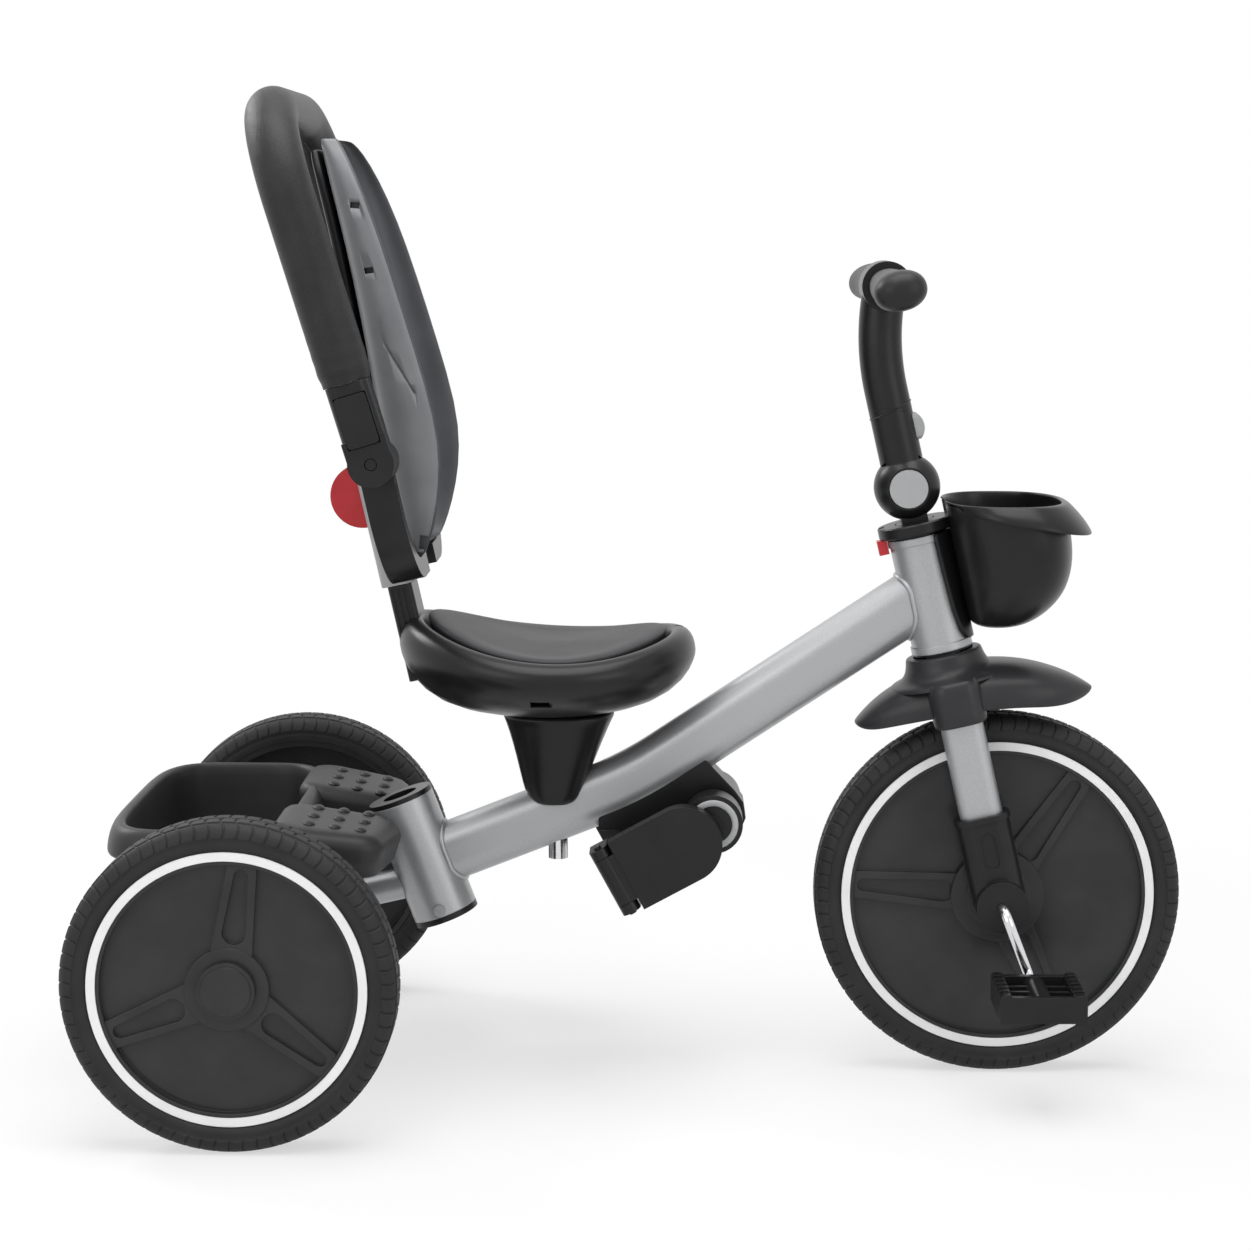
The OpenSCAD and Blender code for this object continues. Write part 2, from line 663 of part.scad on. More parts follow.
// Backrest post frame: origin in the rear rim of the seat, Z up the leaning post
back_x = seat_x - seat_half_l + 12;
back_z = seat_rim_z + 14;
pivot_x = back_x - pivot_back;
pivot_z = back_z + pivot_up;
core_sink = 36;
core_top = 126;
module back_frame() { place() translate([back_x, 0, back_z]) rotate([0, -back_lean, 0]) children(); }
module core_solid(grow) {
    back_frame() translate([0, 0, -core_sink])
        linear_extrude(core_sink + core_top) round_rect(core_d + 2 * grow, core_w + 2 * grow, 4 + grow);
}
pad_half_l = seat_half_l - 24;
pad_half_w = seat_half_w - 24;
pad_floor_z = seat_rim_z - 6;
floor_inset = 23;
module seat_base() {
    low = seat_under_z;
    rise = seat_rim_z - seat_under_z;
    function at(z, inset, tilt, saddle) = oval(seat_x, z, seat_half_l - inset, seat_half_w - inset, 1,
        seat_tilt * tilt, seat_saddle * saddle);
    rings = [
        at(low, 62, 0, 0), at(low + 0.18 * rise, 30, 0, 0), at(low + 0.55 * rise, 8, 0.33, 0.2),
        at(low + 0.85 * rise, 1, 0.5, 0.5), at(seat_rim_z, 0, 1, 0.7), at(seat_rim_z + 9, 3, 1, 0.9),
        at(seat_rim_z + 14, 8, 1, 1), at(seat_rim_z + 15.5, 14, 1, 1), at(seat_rim_z + 14, 20, 1, 1),
        at(pad_floor_z, floor_inset, 1, 0)
    ];
    color(black) difference() {
        place() loft(rings);
        core_solid(seat_fit);
    }
}
// Inlay pad: crowned edge and a hollow middle
module seat_pad() {
    function at(z, inset, saddle, tilt = 1) =
        oval(seat_x, z, pad_half_l - inset, pad_half_w - inset, 1, seat_tilt * tilt, seat_saddle * saddle);
    top = seat_rim_z + 14;
    foot = 7;
    // Ring of the hollow middle, at a share of the way from the middle to the edge
    function within(z, share, saddle) =
        oval(seat_x, z, share * pad_half_l, share * pad_half_w, 1, seat_tilt * share, seat_saddle * saddle);
    rings = [
        at(pad_floor_z + 0.3, foot, 0, (pad_half_l - foot) / (seat_half_l - floor_inset)),
        at(top - 2, 0, 1), at(top + 0.5, 2, 1), at(top + 1, 6, 1),
        within(top - 1, 0.78, 0.8), within(top - 5, 0.51, 0.35), within(top - 7, 0.18, 0)
    ];
    color(dark_grey) place() loft(rings);
}
cover_inner_d = core_d + 2 * gap;
cover_inner_w = core_w + 2 * gap;
cover_d = cover_inner_d + 2 * cover_wall;
cover_w = cover_inner_w + 2 * cover_wall;
height_button_w = core_w - 14;
module post_core() {
    groove_depth = height_press + 1 - cover_wall + 2;
    color(black) difference() {
        core_solid(0);
        back_frame() translate([-core_d / 2 - 1, -height_button_w / 2 - 1, 40])
            cube([groove_depth + 1, height_button_w + 2, core_top]);
        for (i = [0 : 2], s = [-1, 1]) back_frame()
            translate([-core_d / 2 + 3 + (core_d - 6) * i / 3, s * core_w / 2 - 1.2, 6])
                cube([2.5, 2.4, 34]);
    }
}

// Front basket: a tub with a flared lip, its saddle on the head tube, caught under the headset cap
collar_s0 = head_s1 + bush_flange;
collar_s1 = fold_s - fold_r - 1;
collar_r = 31;
collar_bore = steerer_r + 2.5;
saddle_half = 14;
saddle_len = 40;
tab_half = 6;
tab_in = head_r + 1.2 + gap;
function basket_swell(f) = 0.42 + 0.58 * (1 - pow(1 - f, 4));
// Ring of the front basket at a share f of its depth, set out by grow and raised by lift
function basket_ring(f, grow, lift, droop) =
    let (z = front_basket_z - front_basket_d * (1 - f),
        back = wheelbase - (z - front_r) * tan(rake) + (head_r + 1.5) / cos(rake),
        rx = front_basket_half_l * basket_swell(f) + grow,
        ry = front_basket_half_w * basket_swell(f) + grow)
    oval(back + rx + (grow < 0 ? -grow : 0), z + lift, rx, ry, 0.8, droop);
module front_basket() {
    lip = 8;
    wall = basket_wall;
    rings = [
        basket_ring(0, -9, 0, 0), basket_ring(0.02, -3, 0, 0), basket_ring(0.06, 0, 0, 0),
        basket_ring(0.16, 0, 0, 0),
        basket_ring(0.32, 0, 0, 0), basket_ring(0.55, 0, 0, 0), basket_ring(0.8, 0, 0, 0),
        basket_ring(0.94, 0, 0, 3), basket_ring(0.86, lip - 3, 0, 5), basket_ring(0.84, lip, 0, 5),
        basket_ring(1, lip - 2, 0, 5), basket_ring(1, lip - 6, 2, 5), basket_ring(1, -wall, 0, 4),
        basket_ring(0.8, -wall, 0, 0), basket_ring(0.55, -wall, 0, 0), basket_ring(0.32, -wall, 0, 0),
        basket_ring(0.16, -wall, wall, 0), basket_ring(0.06, -wall, wall, 0), basket_ring(0, -wall, wall, 0)
    ];
    joint_room = 5;
    sweep_r = max(fold_r, norm([pivot_button_r, cheek_half + button_proud])) + joint_room;
    color(black) difference() {
        union() {
            place() loft(rings);
            steer() translate([0, -saddle_half, head_s1 - 10 - saddle_len])
                cube([head_r + wall, 2 * saddle_half, saddle_len]);
        }
        steer() {
            translate([0, 0, head_s0]) cylinder(r = head_r + gap, h = head_len);
            translate([0, 0, collar_s0 - gap])
                cylinder(r = collar_r + gap, h = collar_s1 - collar_s0 + 2 * gap);
            translate([0, 0, collar_s1]) cylinder(r = sweep_r, h = 2 * fold_r);
        }
    }
}
// Steering lock tab: slides down behind the head tube, its shank runs in the headset cap
module lock_tab() {
    color(red) steer() {
        translate([-tab_in - 8, -tab_half, head_s1 - 10])
            cube([8, 2 * tab_half, collar_s0 - gap - head_s1 + 10]);
        translate([-tab_in - 4 + gap, -tab_half / 2, collar_s0 - 2])
            cube([4 - gap, tab_half, collar_s1 - collar_s0]);
    }
}

// Rear basket: tub with a thick lip and two stepping decks with raised bumps
rear_basket_x = 40 - rear_basket_half_l;
deck_drop = 24;
module deck_outline(r) {
    hull() for (p = [[44, 42], [44, 122], [92, 116], [100, 44]]) translate(p) circle(r = r, $fn = 32);
}
module deck() {
    difference() {
        translate([0, 0, rear_basket_z - deck_drop]) linear_extrude(deck_drop) deck_outline(12);
        translate([0, 0, rear_basket_z - deck_drop - basket_wall]) linear_extrude(deck_drop)
            deck_outline(12 - basket_wall);
    }
    for (i = [0 : 2], j = [0 : 2]) translate([56 + 17 * i, 52 + 27 * j, rear_basket_z - 1])
        cylinder(r1 = 7, r2 = 4, h = 3.5, $fn = 24);
}
module rear_basket() {
    top = rear_basket_z;
    low = basket_floor_z;
    wall = basket_wall;
    function at(z, inset) =
        oval(rear_basket_x, z, rear_basket_half_l - inset, rear_basket_half_w - inset, 0.45);
    rings = [
        at(low, 24), at(low + 6, 18), at(low + 0.5 * (top - low), 12), at(top - 14, 8),
        at(top - 15, 2), at(top - 10, 0), at(top - 4, 0), at(top, 3), at(top, 8), at(top - 4, 8 + wall),
        at(low + 0.5 * (top - low), 12 + wall), at(low + 6 + wall, 18 + wall), at(low + wall, 24 + wall)
    ];
    color(black) place() {
        loft(rings);
        both_sides() deck();
    }
}

// Fork: steerer with a spigot, crown and two oval legs
crown_s0 = front_r + 20;
crown_s1 = guard_r - guard_wall - 3;
crown_w = 30;
leg_foot = 26;
spigot_r = steerer_r - 4;
spigot_s1 = fold_s - 16;
race_s = head_s0 - bush_flange - gap;
module legs(s0, s1, grow) {
    both_sides() translate([0, leg_y, s0]) linear_extrude(s1 - s0)
        stadium(leg_w + 2 * grow, leg_t + 2 * grow);
}
module fork() {
    color(silver) steer() {
        translate([0, 0, crown_s0]) cylinder(r = steerer_r, h = collar_s0 - crown_s0);
        translate([0, 0, crown_s0]) cylinder(r = spigot_r, h = spigot_s1 - crown_s0);
        translate([-crown_w / 2, -leg_y, crown_s0]) cube([crown_w, 2 * leg_y, crown_s1 - crown_s0]);
        difference() {
            legs(leg_foot, crown_s1, 0);
            legs(leg_foot - 1, crown_s0, -2.5);
        }
    }
}
// Mudguard: leaf-shaped arch over the tyre with a crown collar and a sleeve round each leg
// Stations: angle ahead of the steering axis, lift of the ridge, shares of the half width and the skirt
guard_stations = [
    [-27, -6, 0.15, 0.06], [-26, -5, 0.32, 0.25], [-23, -3, 0.51, 0.45], [-18, 0, 0.7, 0.65],
    [-10, 3, 0.89, 0.87], [0, 5, 1, 1], [10, 5.5, 1, 1], [19, 5, 0.96, 0.93], [26, 3, 0.85, 0.8],
    [31, 1.5, 0.65, 0.62], [34.5, -0.5, 0.42, 0.38], [36.2, -1.5, 0.25, 0.2], [36.9, -2, 0.12, 0.06]
];
guard_skirt = 36;
guard_steps = 18;
sleeve_s0 = 152;
// Arch of one station, from the left edge over the ridge to the right edge
function arch(st, inset) = [for (i = [0 : guard_steps])
    let (a = 180 * i / guard_steps,
        r = guard_r + st[1] - inset - (guard_skirt * st[3] - inset) * (1 - power(sin(a), 0.75)))
    [r * sin(st[0]), (guard_half_w * st[2] - inset) * power(cos(a), 0.75), r * cos(st[0])]];
module mudguard() {
    sleeve = gap + 3.5;
    color(dark_grey) steer() difference() {
        union() {
            wall_loft([for (st = guard_stations) wall_ring(arch(st, 0), arch(st, guard_wall))]);
            translate([0, 0, crown_s0 + 4])
                cylinder(r1 = head_r + 23, r2 = head_r + 7, h = race_s - crown_s0 - 4);
            legs(sleeve_s0, crown_s1 + 4, sleeve);
        }
        translate([0, 0, crown_s0 - 1]) cylinder(r = steerer_r + seat_fit, h = head_len);
        translate([-crown_w / 2 - gap, -leg_y, crown_s0 - 30])
            cube([crown_w + 2 * gap, 2 * leg_y, crown_s1 + seat_fit - crown_s0 + 30]);
        legs(leg_foot, crown_s1 + seat_fit, gap);
    }
}
// Fork ends: sleeve over each leg with a flange, an oblong recess and the hub boss
fork_end_top = 74;
boss_r = 21;
module fork_ends() {
    outer = leg_y + leg_t / 2 + fork_wall;
    color(black) steer() both_sides() difference() {
        union() {
            translate([0, leg_y, 0]) linear_extrude(fork_end_top)
                stadium(leg_w + 2 * fork_wall, leg_t + 2 * fork_wall);
            translate([0, leg_y, fork_end_top - 5]) linear_extrude(5)
                stadium(leg_w + 2 * fork_wall + 3, leg_t + 2 * fork_wall + 3);
            rod_y(boss_r, fork_inner, boss_half);
        }
        translate([0, leg_y, leg_foot]) linear_extrude(fork_end_top)
            stadium(leg_w + 2 * seat_fit, leg_t + 2 * seat_fit);
        rod_y(crank_r + run_fit, 0, 2 * boss_half);
        translate([0, outer + 1, 46]) rotate([90, 0, 0])
            linear_extrude(2.5) rotate([0, 0, 90]) stadium(30, 12);
    }
}

// Folding joint: a tongue on the steerer between the two cheeks of the lower stem
tongue_half = 11;
tongue_r = fold_r - 0.5;
neck_r = steerer_r + 1.5;
fold_pin_r = 5;
cheek_half = 21.5;
pocket_floor = 14.5;
button_proud = 1.5;
button_t = 5;
button_press = 3;
module at_fold() { steer() translate([0, 0, fold_s]) children(); }
block_half = sqrt(pow(neck_r, 2) - pow(tongue_half, 2)) - 0.2;
// Slice of a ball round the fold axis
module ball_slice(r, y0, y1) {
    rotate([-90, 0, 0]) rotate_extrude() intersection() {
        circle(r = r);
        translate([0, y0]) square([r, y1 - y0]);
    }
}
module stem_knuckle() {
    color(black) difference() {
        union() {
            at_fold() ball_slice(tongue_r, -tongue_half, tongue_half);
            steer() translate([0, 0, collar_s0]) cylinder(r = neck_r, h = collar_s1 - collar_s0);
            steer() translate([-block_half, -tongue_half, collar_s1 - 1])
                cube([2 * block_half, 2 * tongue_half, fold_s - collar_s1 + 1]);
        }
        steer() translate([0, 0, collar_s0 - 1])
            cylinder(r = spigot_r + seat_fit, h = spigot_s1 - collar_s0 + 1.2);
        at_fold() rod_y(fold_pin_r + run_fit, -cheek_half, cheek_half);
    }
}
module cheek() { ball_slice(fold_r, tongue_half + gap, cheek_half); }
split_s = 64;
split_slant = 14;
stem_button_z = 47;
stem_button_h = 22;
stem_button_w = 14;
stem_button_in = stem_r - 5;
// Half space above the slanted seam of the stem
module above_split() {
    translate([0, 0, split_s]) rotate([0, split_slant, 0]) translate([-100, -100, 0]) cube([200, 200, 300]);
}
module stem_lower() {
    color(black) at_fold() difference() {
        union() {
            both_sides() cheek();
            cylinder(r = stem_r, h = split_s + 20);
        }
        above_split();
        rod_y(tongue_r + gap, -tongue_half - gap, tongue_half + gap);
        rod_y(fold_pin_r + seat_fit, -cheek_half, cheek_half);
        both_sides() rod_y(pivot_button_r + gap, pocket_floor, cheek_half + 1);
        translate([stem_button_in - button_press - gap, -stem_button_w / 2 - gap,
            stem_button_z - stem_button_h / 2 - gap])
            cube([2 * stem_r, stem_button_w + 2 * gap, stem_button_h + 2 * gap]);
    }
}
bend_end = [stem_bend_r * (1 - cos(stem_bend)), stem_straight + stem_bend_r * sin(stem_bend)];
barrel_r = 20;
barrel_half = 24;
bar_tube_outer = 11;
module at_bar() { at_fold() translate([bend_end[0], 0, bend_end[1]]) children(); }
module stem_upper() {
    color(black) difference() {
        union() {
            at_fold() intersection() {
                translate([0, 0, split_s - 20]) cylinder(r = stem_r, h = stem_straight - split_s + 20);
                above_split();
            }
            at_fold() translate([stem_bend_r, 0, stem_straight]) rotate([90, 0, 0]) mirror([1, 0, 0])
                rotate_extrude(angle = stem_bend, $fn = 128)
                    translate([stem_bend_r, 0]) circle(r = stem_r, $fn = 64);
            at_bar() rod_y(barrel_r, -barrel_half, barrel_half);
        }
        at_bar() rod_y(bar_tube_outer + seat_fit, -bar_half, bar_half);
    }
}
module handlebar_tube() {
    color(chrome) at_bar() difference() {
        rod_y(bar_tube_outer, 6 - bar_half, bar_half - 6);
        rod_y(bar_tube_outer - 2, -bar_half, bar_half);
    }
}
// Grips swell towards their ends
module grips() {
    length = bar_half - barrel_half;
    function at(f, rx, ry) = oval(0, f * length, rx, ry, 0.9);
    rings = [
        at(0.002, 14, 14), at(0.08, 15, 14.5), at(0.4, 15.5, 14.5), at(0.6, 16, 14.5), at(0.74, 18.5, 15),
        at(0.85, 20.5, 15.5), at(0.92, 19.8, 15), at(0.96, 17.3, 13.1), at(0.985, 12.5, 9.5), at(1, 5, 4)
    ];
    color(black) at_bar() both_sides() difference() {
        translate([0, barrel_half, 0]) rotate([-90, 0, 0]) loft(rings);
        rod_y(bar_tube_outer + seat_fit, 0, bar_half - 5.5);
    }
}
module fold_pin() { color(chrome) at_fold() rod_y(fold_pin_r, 0.4 - pocket_floor, pocket_floor - 0.4); }
module pivot_button() {
    rod_y(pivot_button_r, cheek_half + button_proud - button_t, cheek_half + button_proud);
}
module pivot_button_left() { color(button_grey) at_fold() pivot_button(); }
module pivot_button_right() { color(button_grey) at_fold() mirror([0, 1, 0]) pivot_button(); }
module stem_button() {
    lens_rise = 5;
    lens_r = (pow(stem_button_h / 2, 2) + pow(lens_rise, 2)) / (2 * lens_rise);
    top = stem_r + 6.5;
    color(button_grey) at_fold() intersection() {
        translate([stem_button_in, 0, stem_button_z]) rotate([90, 0, 90])
            linear_extrude(top - stem_button_in) round_rect(stem_button_w, stem_button_h, 4);
        translate([top - lens_r, 0, stem_button_z]) union() {
            rod_y(lens_r, -stem_button_w, stem_button_w);
            translate([-lens_r, -stem_button_w, -stem_button_h])
                cube([lens_r - lens_rise + 0.5, 2 * stem_button_w, 2 * stem_button_h]);
        }
    }
}

// Footrest: bracket under the main tube, yoke on its pivot, and two plates that fold out
foot_x = foot_share * wheelbase;
foot_z = tube_z(foot_x) - foot_drop;
foot_pin_r = 7;
foot_disc_in = 30;
foot_disc_out = 56;
arm_in = 44;
arm_w = 26;
hinge_y = foot_disc_out + 12;
hinge_r = 8;
hinge_pin_r = 3;
lug_in = 21;
lug_out = 29;
module at_foot() { place() translate([foot_x, 0, foot_z]) children(); }
// Frame of the folded arms: X runs from the pivot to the hinge line, Z along the hinge line
module foot_frame() { at_foot() rotate([0, 180 - foot_arm_angle, 0]) children(); }
module foot_bracket() {
    half = tube_w / 2 - 2;
    color(black) {
        difference() {
            at_foot() rotate([90, 0, 0]) linear_extrude(2 * half, center = true)
                polygon([[-94, -14], [-30, -14], [-12, -16], [12, -16], [26, 6], [26, 90], [-94, 18]]);
            tube_solid(seat_fit);
            seat_post_rod(gap);
        }
        at_foot() rod_y(foot_pin_r, -foot_disc_out - 1, foot_disc_out + 1);
        at_foot() rod_y(foot_pin_r + 8, gap - foot_disc_in, foot_disc_in - gap);
    }
}
module foot_yoke() {
    head_t = foot_disc_out - arm_in;
    color(black) foot_frame() difference() {
        union() {
            both_sides() {
                rod_y(foot_disc_r, foot_disc_in, foot_disc_out);
                translate([(foot_arm - 8) / 2, foot_disc_out, 0]) rotate([90, 0, 0])
                    linear_extrude(head_t) stadium(foot_arm + arm_w - 8, arm_w);
                translate([foot_arm - 8, arm_in, -lug_out]) cube([16, head_t, 2 * lug_out]);
                for (z = [-lug_out, lug_in]) translate([foot_arm, 0, z]) {
                    translate([-hinge_r, foot_disc_out - 1, 0])
                        cube([2 * hinge_r, hinge_y - foot_disc_out + 1, lug_out - lug_in]);
                    translate([0, hinge_y, 0]) cylinder(r = hinge_r, h = lug_out - lug_in);
                }
            }
            translate([foot_arm - 20, 0, 0]) rod_y(8, -arm_in - 1, arm_in + 1);
        }
        rod_y(foot_pin_r + run_fit, -2 * foot_disc_out, 2 * foot_disc_out);
        both_sides() translate([foot_arm, hinge_y, -2 * lug_out])
            cylinder(r = hinge_pin_r + run_fit, h = 4 * lug_out);
    }
}
// Foot plate folded flat beside the arms, with a ribbed tread, a barrel and its pin
module foot_plate() {
    near = foot_arm - hinge_r - 2;
    far = foot_arm - foot_plate_len;
    body_l = near - far;
    translate([0, hinge_y, 0]) {
        difference() {
            union() {
                translate([far + foot_plate_w / 2, 0, 0]) rotate([90, 0, 0])
                    linear_extrude(foot_plate_t, center = true) union() {
                        circle(d = foot_plate_w);
                        translate([0, -foot_plate_w / 2]) square([body_l - foot_plate_w / 2, foot_plate_w]);
                    }
                translate([near - 2, -hinge_r + 1, -lug_in + gap])
                    cube([12, 2 * hinge_r - 2, 2 * (lug_in - gap)]);
                translate([foot_arm, 0, -lug_in + gap]) cylinder(r = hinge_r, h = 2 * (lug_in - gap));
            }
            for (i = [0 : 4]) translate([far + 22 + 12 * i, -foot_plate_t / 2 - 1, -foot_plate_w / 2 + 10])
                cube([5, 3, foot_plate_w - 20]);
        }
        translate([foot_arm, 0, -lug_out - 2]) cylinder(r = hinge_pin_r, h = 2 * lug_out + 4);
    }
}
module foot_plate_left() { color(black) foot_frame() foot_plate(); }
module foot_plate_right() { color(black) foot_frame() mirror([0, 1, 0]) foot_plate(); }

// Backrest shell stations: height above the bar pivot, back and front edge from the pivot, share of the width
shell_stations = [
    [-79, 16.3, 31, 0.72], [-63, 12.7, 38, 0.85], [-35, 6.4, 45, 0.93], [-5, -0.2, 48, 0.965],
    [30, -6, 45, 0.99], [85, -14, 29, 1], [140, -24, 12, 0.99], [185, -34, -3, 0.945],
    [220, -43, -18, 0.85], [240, -48, -29, 0.7], [248, -50, -36, 0.54]
];
wing_steps = 24;
// Wings and back of one station, from the left front edge round the back to the right front edge
function wings(st, inset, advance) = [for (i = [0 : wing_steps])
    let (a = 180 * i / wing_steps, front = st[2] + advance, back = st[1] + inset)
    [pivot_x + front - (front - back) * power(sin(a), 0.5),
        (shell_half_w * st[3] - inset) * power(cos(a), 0.5), pivot_z + st[0]]];
// Thin dished wall through all stations
module dish(inset, wall, advance) {
    wall_loft([for (st = shell_stations)
        wall_ring(wings(st, inset, advance), wings(st, inset + wall, advance))]);
}
module backrest_shell() { color(mid_grey) place() dish(0, shell_wall, 0); }
module backrest_panel() { color(black) place() dish(shell_wall + 0.3, panel_wall, 1.5); }
// Black cover on the back of the shell
module backrest_cover() {
    half_t = 5;
    rings = [for (k = [4 : 9]) let (st = shell_stations[k], edge = k == 4 || k == 9 ? 2 : 0)
        oval(pivot_x + st[1] - 0.3 - half_t, pivot_z + st[0], half_t - edge,
            0.66 * shell_half_w * st[3] - edge, 0.35)];
    color(black) place() loft(rings);
}
cover_foot = 44;
height_travel = 24;
cover_top = core_top + height_travel + 4;
height_button_t = 120;
module post_cover() {
    window = height_button_r + gap;
    color(silver) back_frame() difference() {
        translate([0, 0, cover_foot]) linear_extrude(cover_top - cover_foot) round_rect(cover_d, cover_w, 7);
        translate([0, 0, cover_foot - 1]) linear_extrude(core_top + height_travel + 1 - cover_foot)
            round_rect(cover_inner_d, cover_inner_w, 4 + gap);
        translate([-cover_d / 2 - 1, -height_button_w / 2 - gap, height_button_t - window])
            cube([cover_wall + 3, height_button_w + 2 * gap, 2 * window]);
    }
}
module height_button() {
    r = height_button_r;
    color(red) back_frame() translate([1 - cover_d / 2, 0, height_button_t]) difference() {
        rod_y(r, -height_button_w / 2, height_button_w / 2);
        translate([0, -height_button_w, -2 * r]) cube([2 * r, 2 * height_button_w, 4 * r]);
    }
}
// Side arms: from the sides of the post cover out and up to the bar pivots
arm_outer = bar_y - 7;
arm_t = 16;
arm_step = 0.8;
arm_bend = 60;
arm_foot = 50;
arm_disc_r = 18;
pivot_rise = -(pivot_x - back_x) * sin(back_lean) + (pivot_z - back_z) * cos(back_lean);
pivot_ahead = (pivot_x - back_x) * cos(back_lean) + (pivot_z - back_z) * sin(back_lean);
module at_pivot() { place() translate([pivot_x, 0, pivot_z]) children(); }
module arm_outline() {
    y0 = cover_w / 2 + seat_fit;
    y1 = arm_outer - arm_step;
    yc = y1 - arm_bend;
    translate([y0, arm_foot]) square([yc - y0, arm_t]);
    translate([yc, arm_foot + arm_bend]) intersection() {
        difference() {
            circle(r = arm_bend);
            circle(r = arm_bend - arm_t);
        }
        translate([0, -arm_bend]) square(arm_bend);
    }
    translate([y1 - arm_t, arm_foot + arm_bend]) square([arm_t, pivot_rise - arm_foot - arm_bend - 5]);
}
module side_arms() {
    color(black) both_sides() difference() {
        union() {
            back_frame() translate([pivot_ahead - 14, 0, 0]) rotate([90, 0, 90])
                linear_extrude(26) arm_outline();
            at_pivot() rod_y(arm_disc_r, arm_outer - arm_t - arm_step, arm_outer);
        }
        at_pivot() rod_y(bar_pin_r + seat_fit, 0, 2 * bar_y);
    }
}

// Safety bar: bent steel tube in a padded sleeve, two sockets on pivot pins
knuckle_in = arm_outer + gap;
knuckle_out = bar_y + 17;
socket_step = arm_disc_r + 2;
bar_button_z = 35;
bar_button_h = 40;
bar_button_w = 25;
bar_screw_r = 4.5;
pin_end = knuckle_out - 5;
bar_press = 2.5;
bar_tube_wall = 1.5;
bar_button_in = knuckle_out - 3;
module bar_frame() { at_pivot() rotate([0, -bar_lean, 0]) children(); }
module bar_path(r, z0) {
    corner = bar_y - bar_bend_r;
    both_sides() {
        translate([0, bar_y, z0]) cylinder(r = r, h = bar_reach - bar_bend_r - z0);
        translate([0, corner, bar_reach - bar_bend_r]) rotate([90, 0, 90])
            rotate_extrude(angle = 90) translate([bar_bend_r, 0]) circle(r = r);
    }
    translate([0, 0, bar_reach]) rod_y(r, -corner, corner);
}
module bar_tube() {
    color(chrome) bar_frame() difference() {
        bar_path(bar_tube_r, socket_step + 4);
        bar_path(bar_tube_r - bar_tube_wall, socket_step + 3);
    }
}
module bar_pad() {
    color(black) bar_frame() difference() {
        bar_path(pad_r, bar_socket_len + 0.3);
        bar_path(bar_tube_r + seat_fit, 0);
    }
}
module bar_sockets() {
    color(black) bar_frame() both_sides() difference() {
        union() {
            translate([0, bar_y, socket_step])
                linear_extrude(bar_socket_len - socket_step) round_rect(34, 34, 9);
            translate([-17, knuckle_in, 0]) cube([34, knuckle_out - knuckle_in, socket_step + 1]);
            rod_y(arm_disc_r, knuckle_in, knuckle_out);
        }
        translate([0, bar_y, socket_step + 3.9]) cylinder(r = bar_tube_r + seat_fit, h = bar_socket_len);
        rod_y(bar_pin_r + run_fit, 0, pin_end + gap);
        rod_y(bar_screw_r + gap, 0, 2 * bar_y);
        translate([-bar_button_w / 2 - gap, bar_button_in - bar_press - gap,
            bar_button_z - bar_button_h / 2 - gap])
            cube([bar_button_w + 2 * gap, 20, bar_button_h + 2 * gap]);
    }
}
module bar_pins() {
    color(chrome) at_pivot() both_sides() {
        rod_y(bar_pin_r, arm_outer - arm_t + 1, pin_end);
        rod_y(bar_screw_r, pin_end, knuckle_out - 1);
    }
}
module bar_button() {
    translate([0, bar_button_in, bar_button_z]) rotate([-90, 0, 0])
        linear_extrude(5) round_rect(bar_button_w, bar_button_h, 3);
}
module bar_button_left() { color(black) bar_frame() bar_button(); }
module bar_button_right() { color(black) bar_frame() mirror([0, 1, 0]) bar_button(); }

main_tube();
head_tube();
headset_bushes();
handle_socket();
socket_liner();
socket_cap();
rear_yoke();
rear_axle();
seat_post();
seat_pedestal();
seat_base();
seat_pad();
post_core();
front_basket();
rear_basket();
foot_bracket();
frame_screws();
lock_tab();
fork();
mudguard();
fork_ends();
stem_knuckle();
stem_lower();
stem_upper();
handlebar_tube();
grips();
fold_pin();
pivot_button_right();
pivot_button_left();
stem_button();
front_tyre();
front_rings();
front_disc();
front_hub_covers();
crank();
pedal_right();
pedal_left();
rear_tyre_right();
rear_ring_right();
rear_disc_right();
hub_cap_right();
rear_tyre_left();
rear_ring_left();
rear_disc_left();
hub_cap_left();
backrest_shell();
backrest_panel();
backrest_cover();
post_cover();
side_arms();
height_button();
bar_tube();
bar_pad();
bar_sockets();
bar_pins();
bar_button_right();
bar_button_left();
foot_yoke();
foot_plate_right();
foot_plate_left();
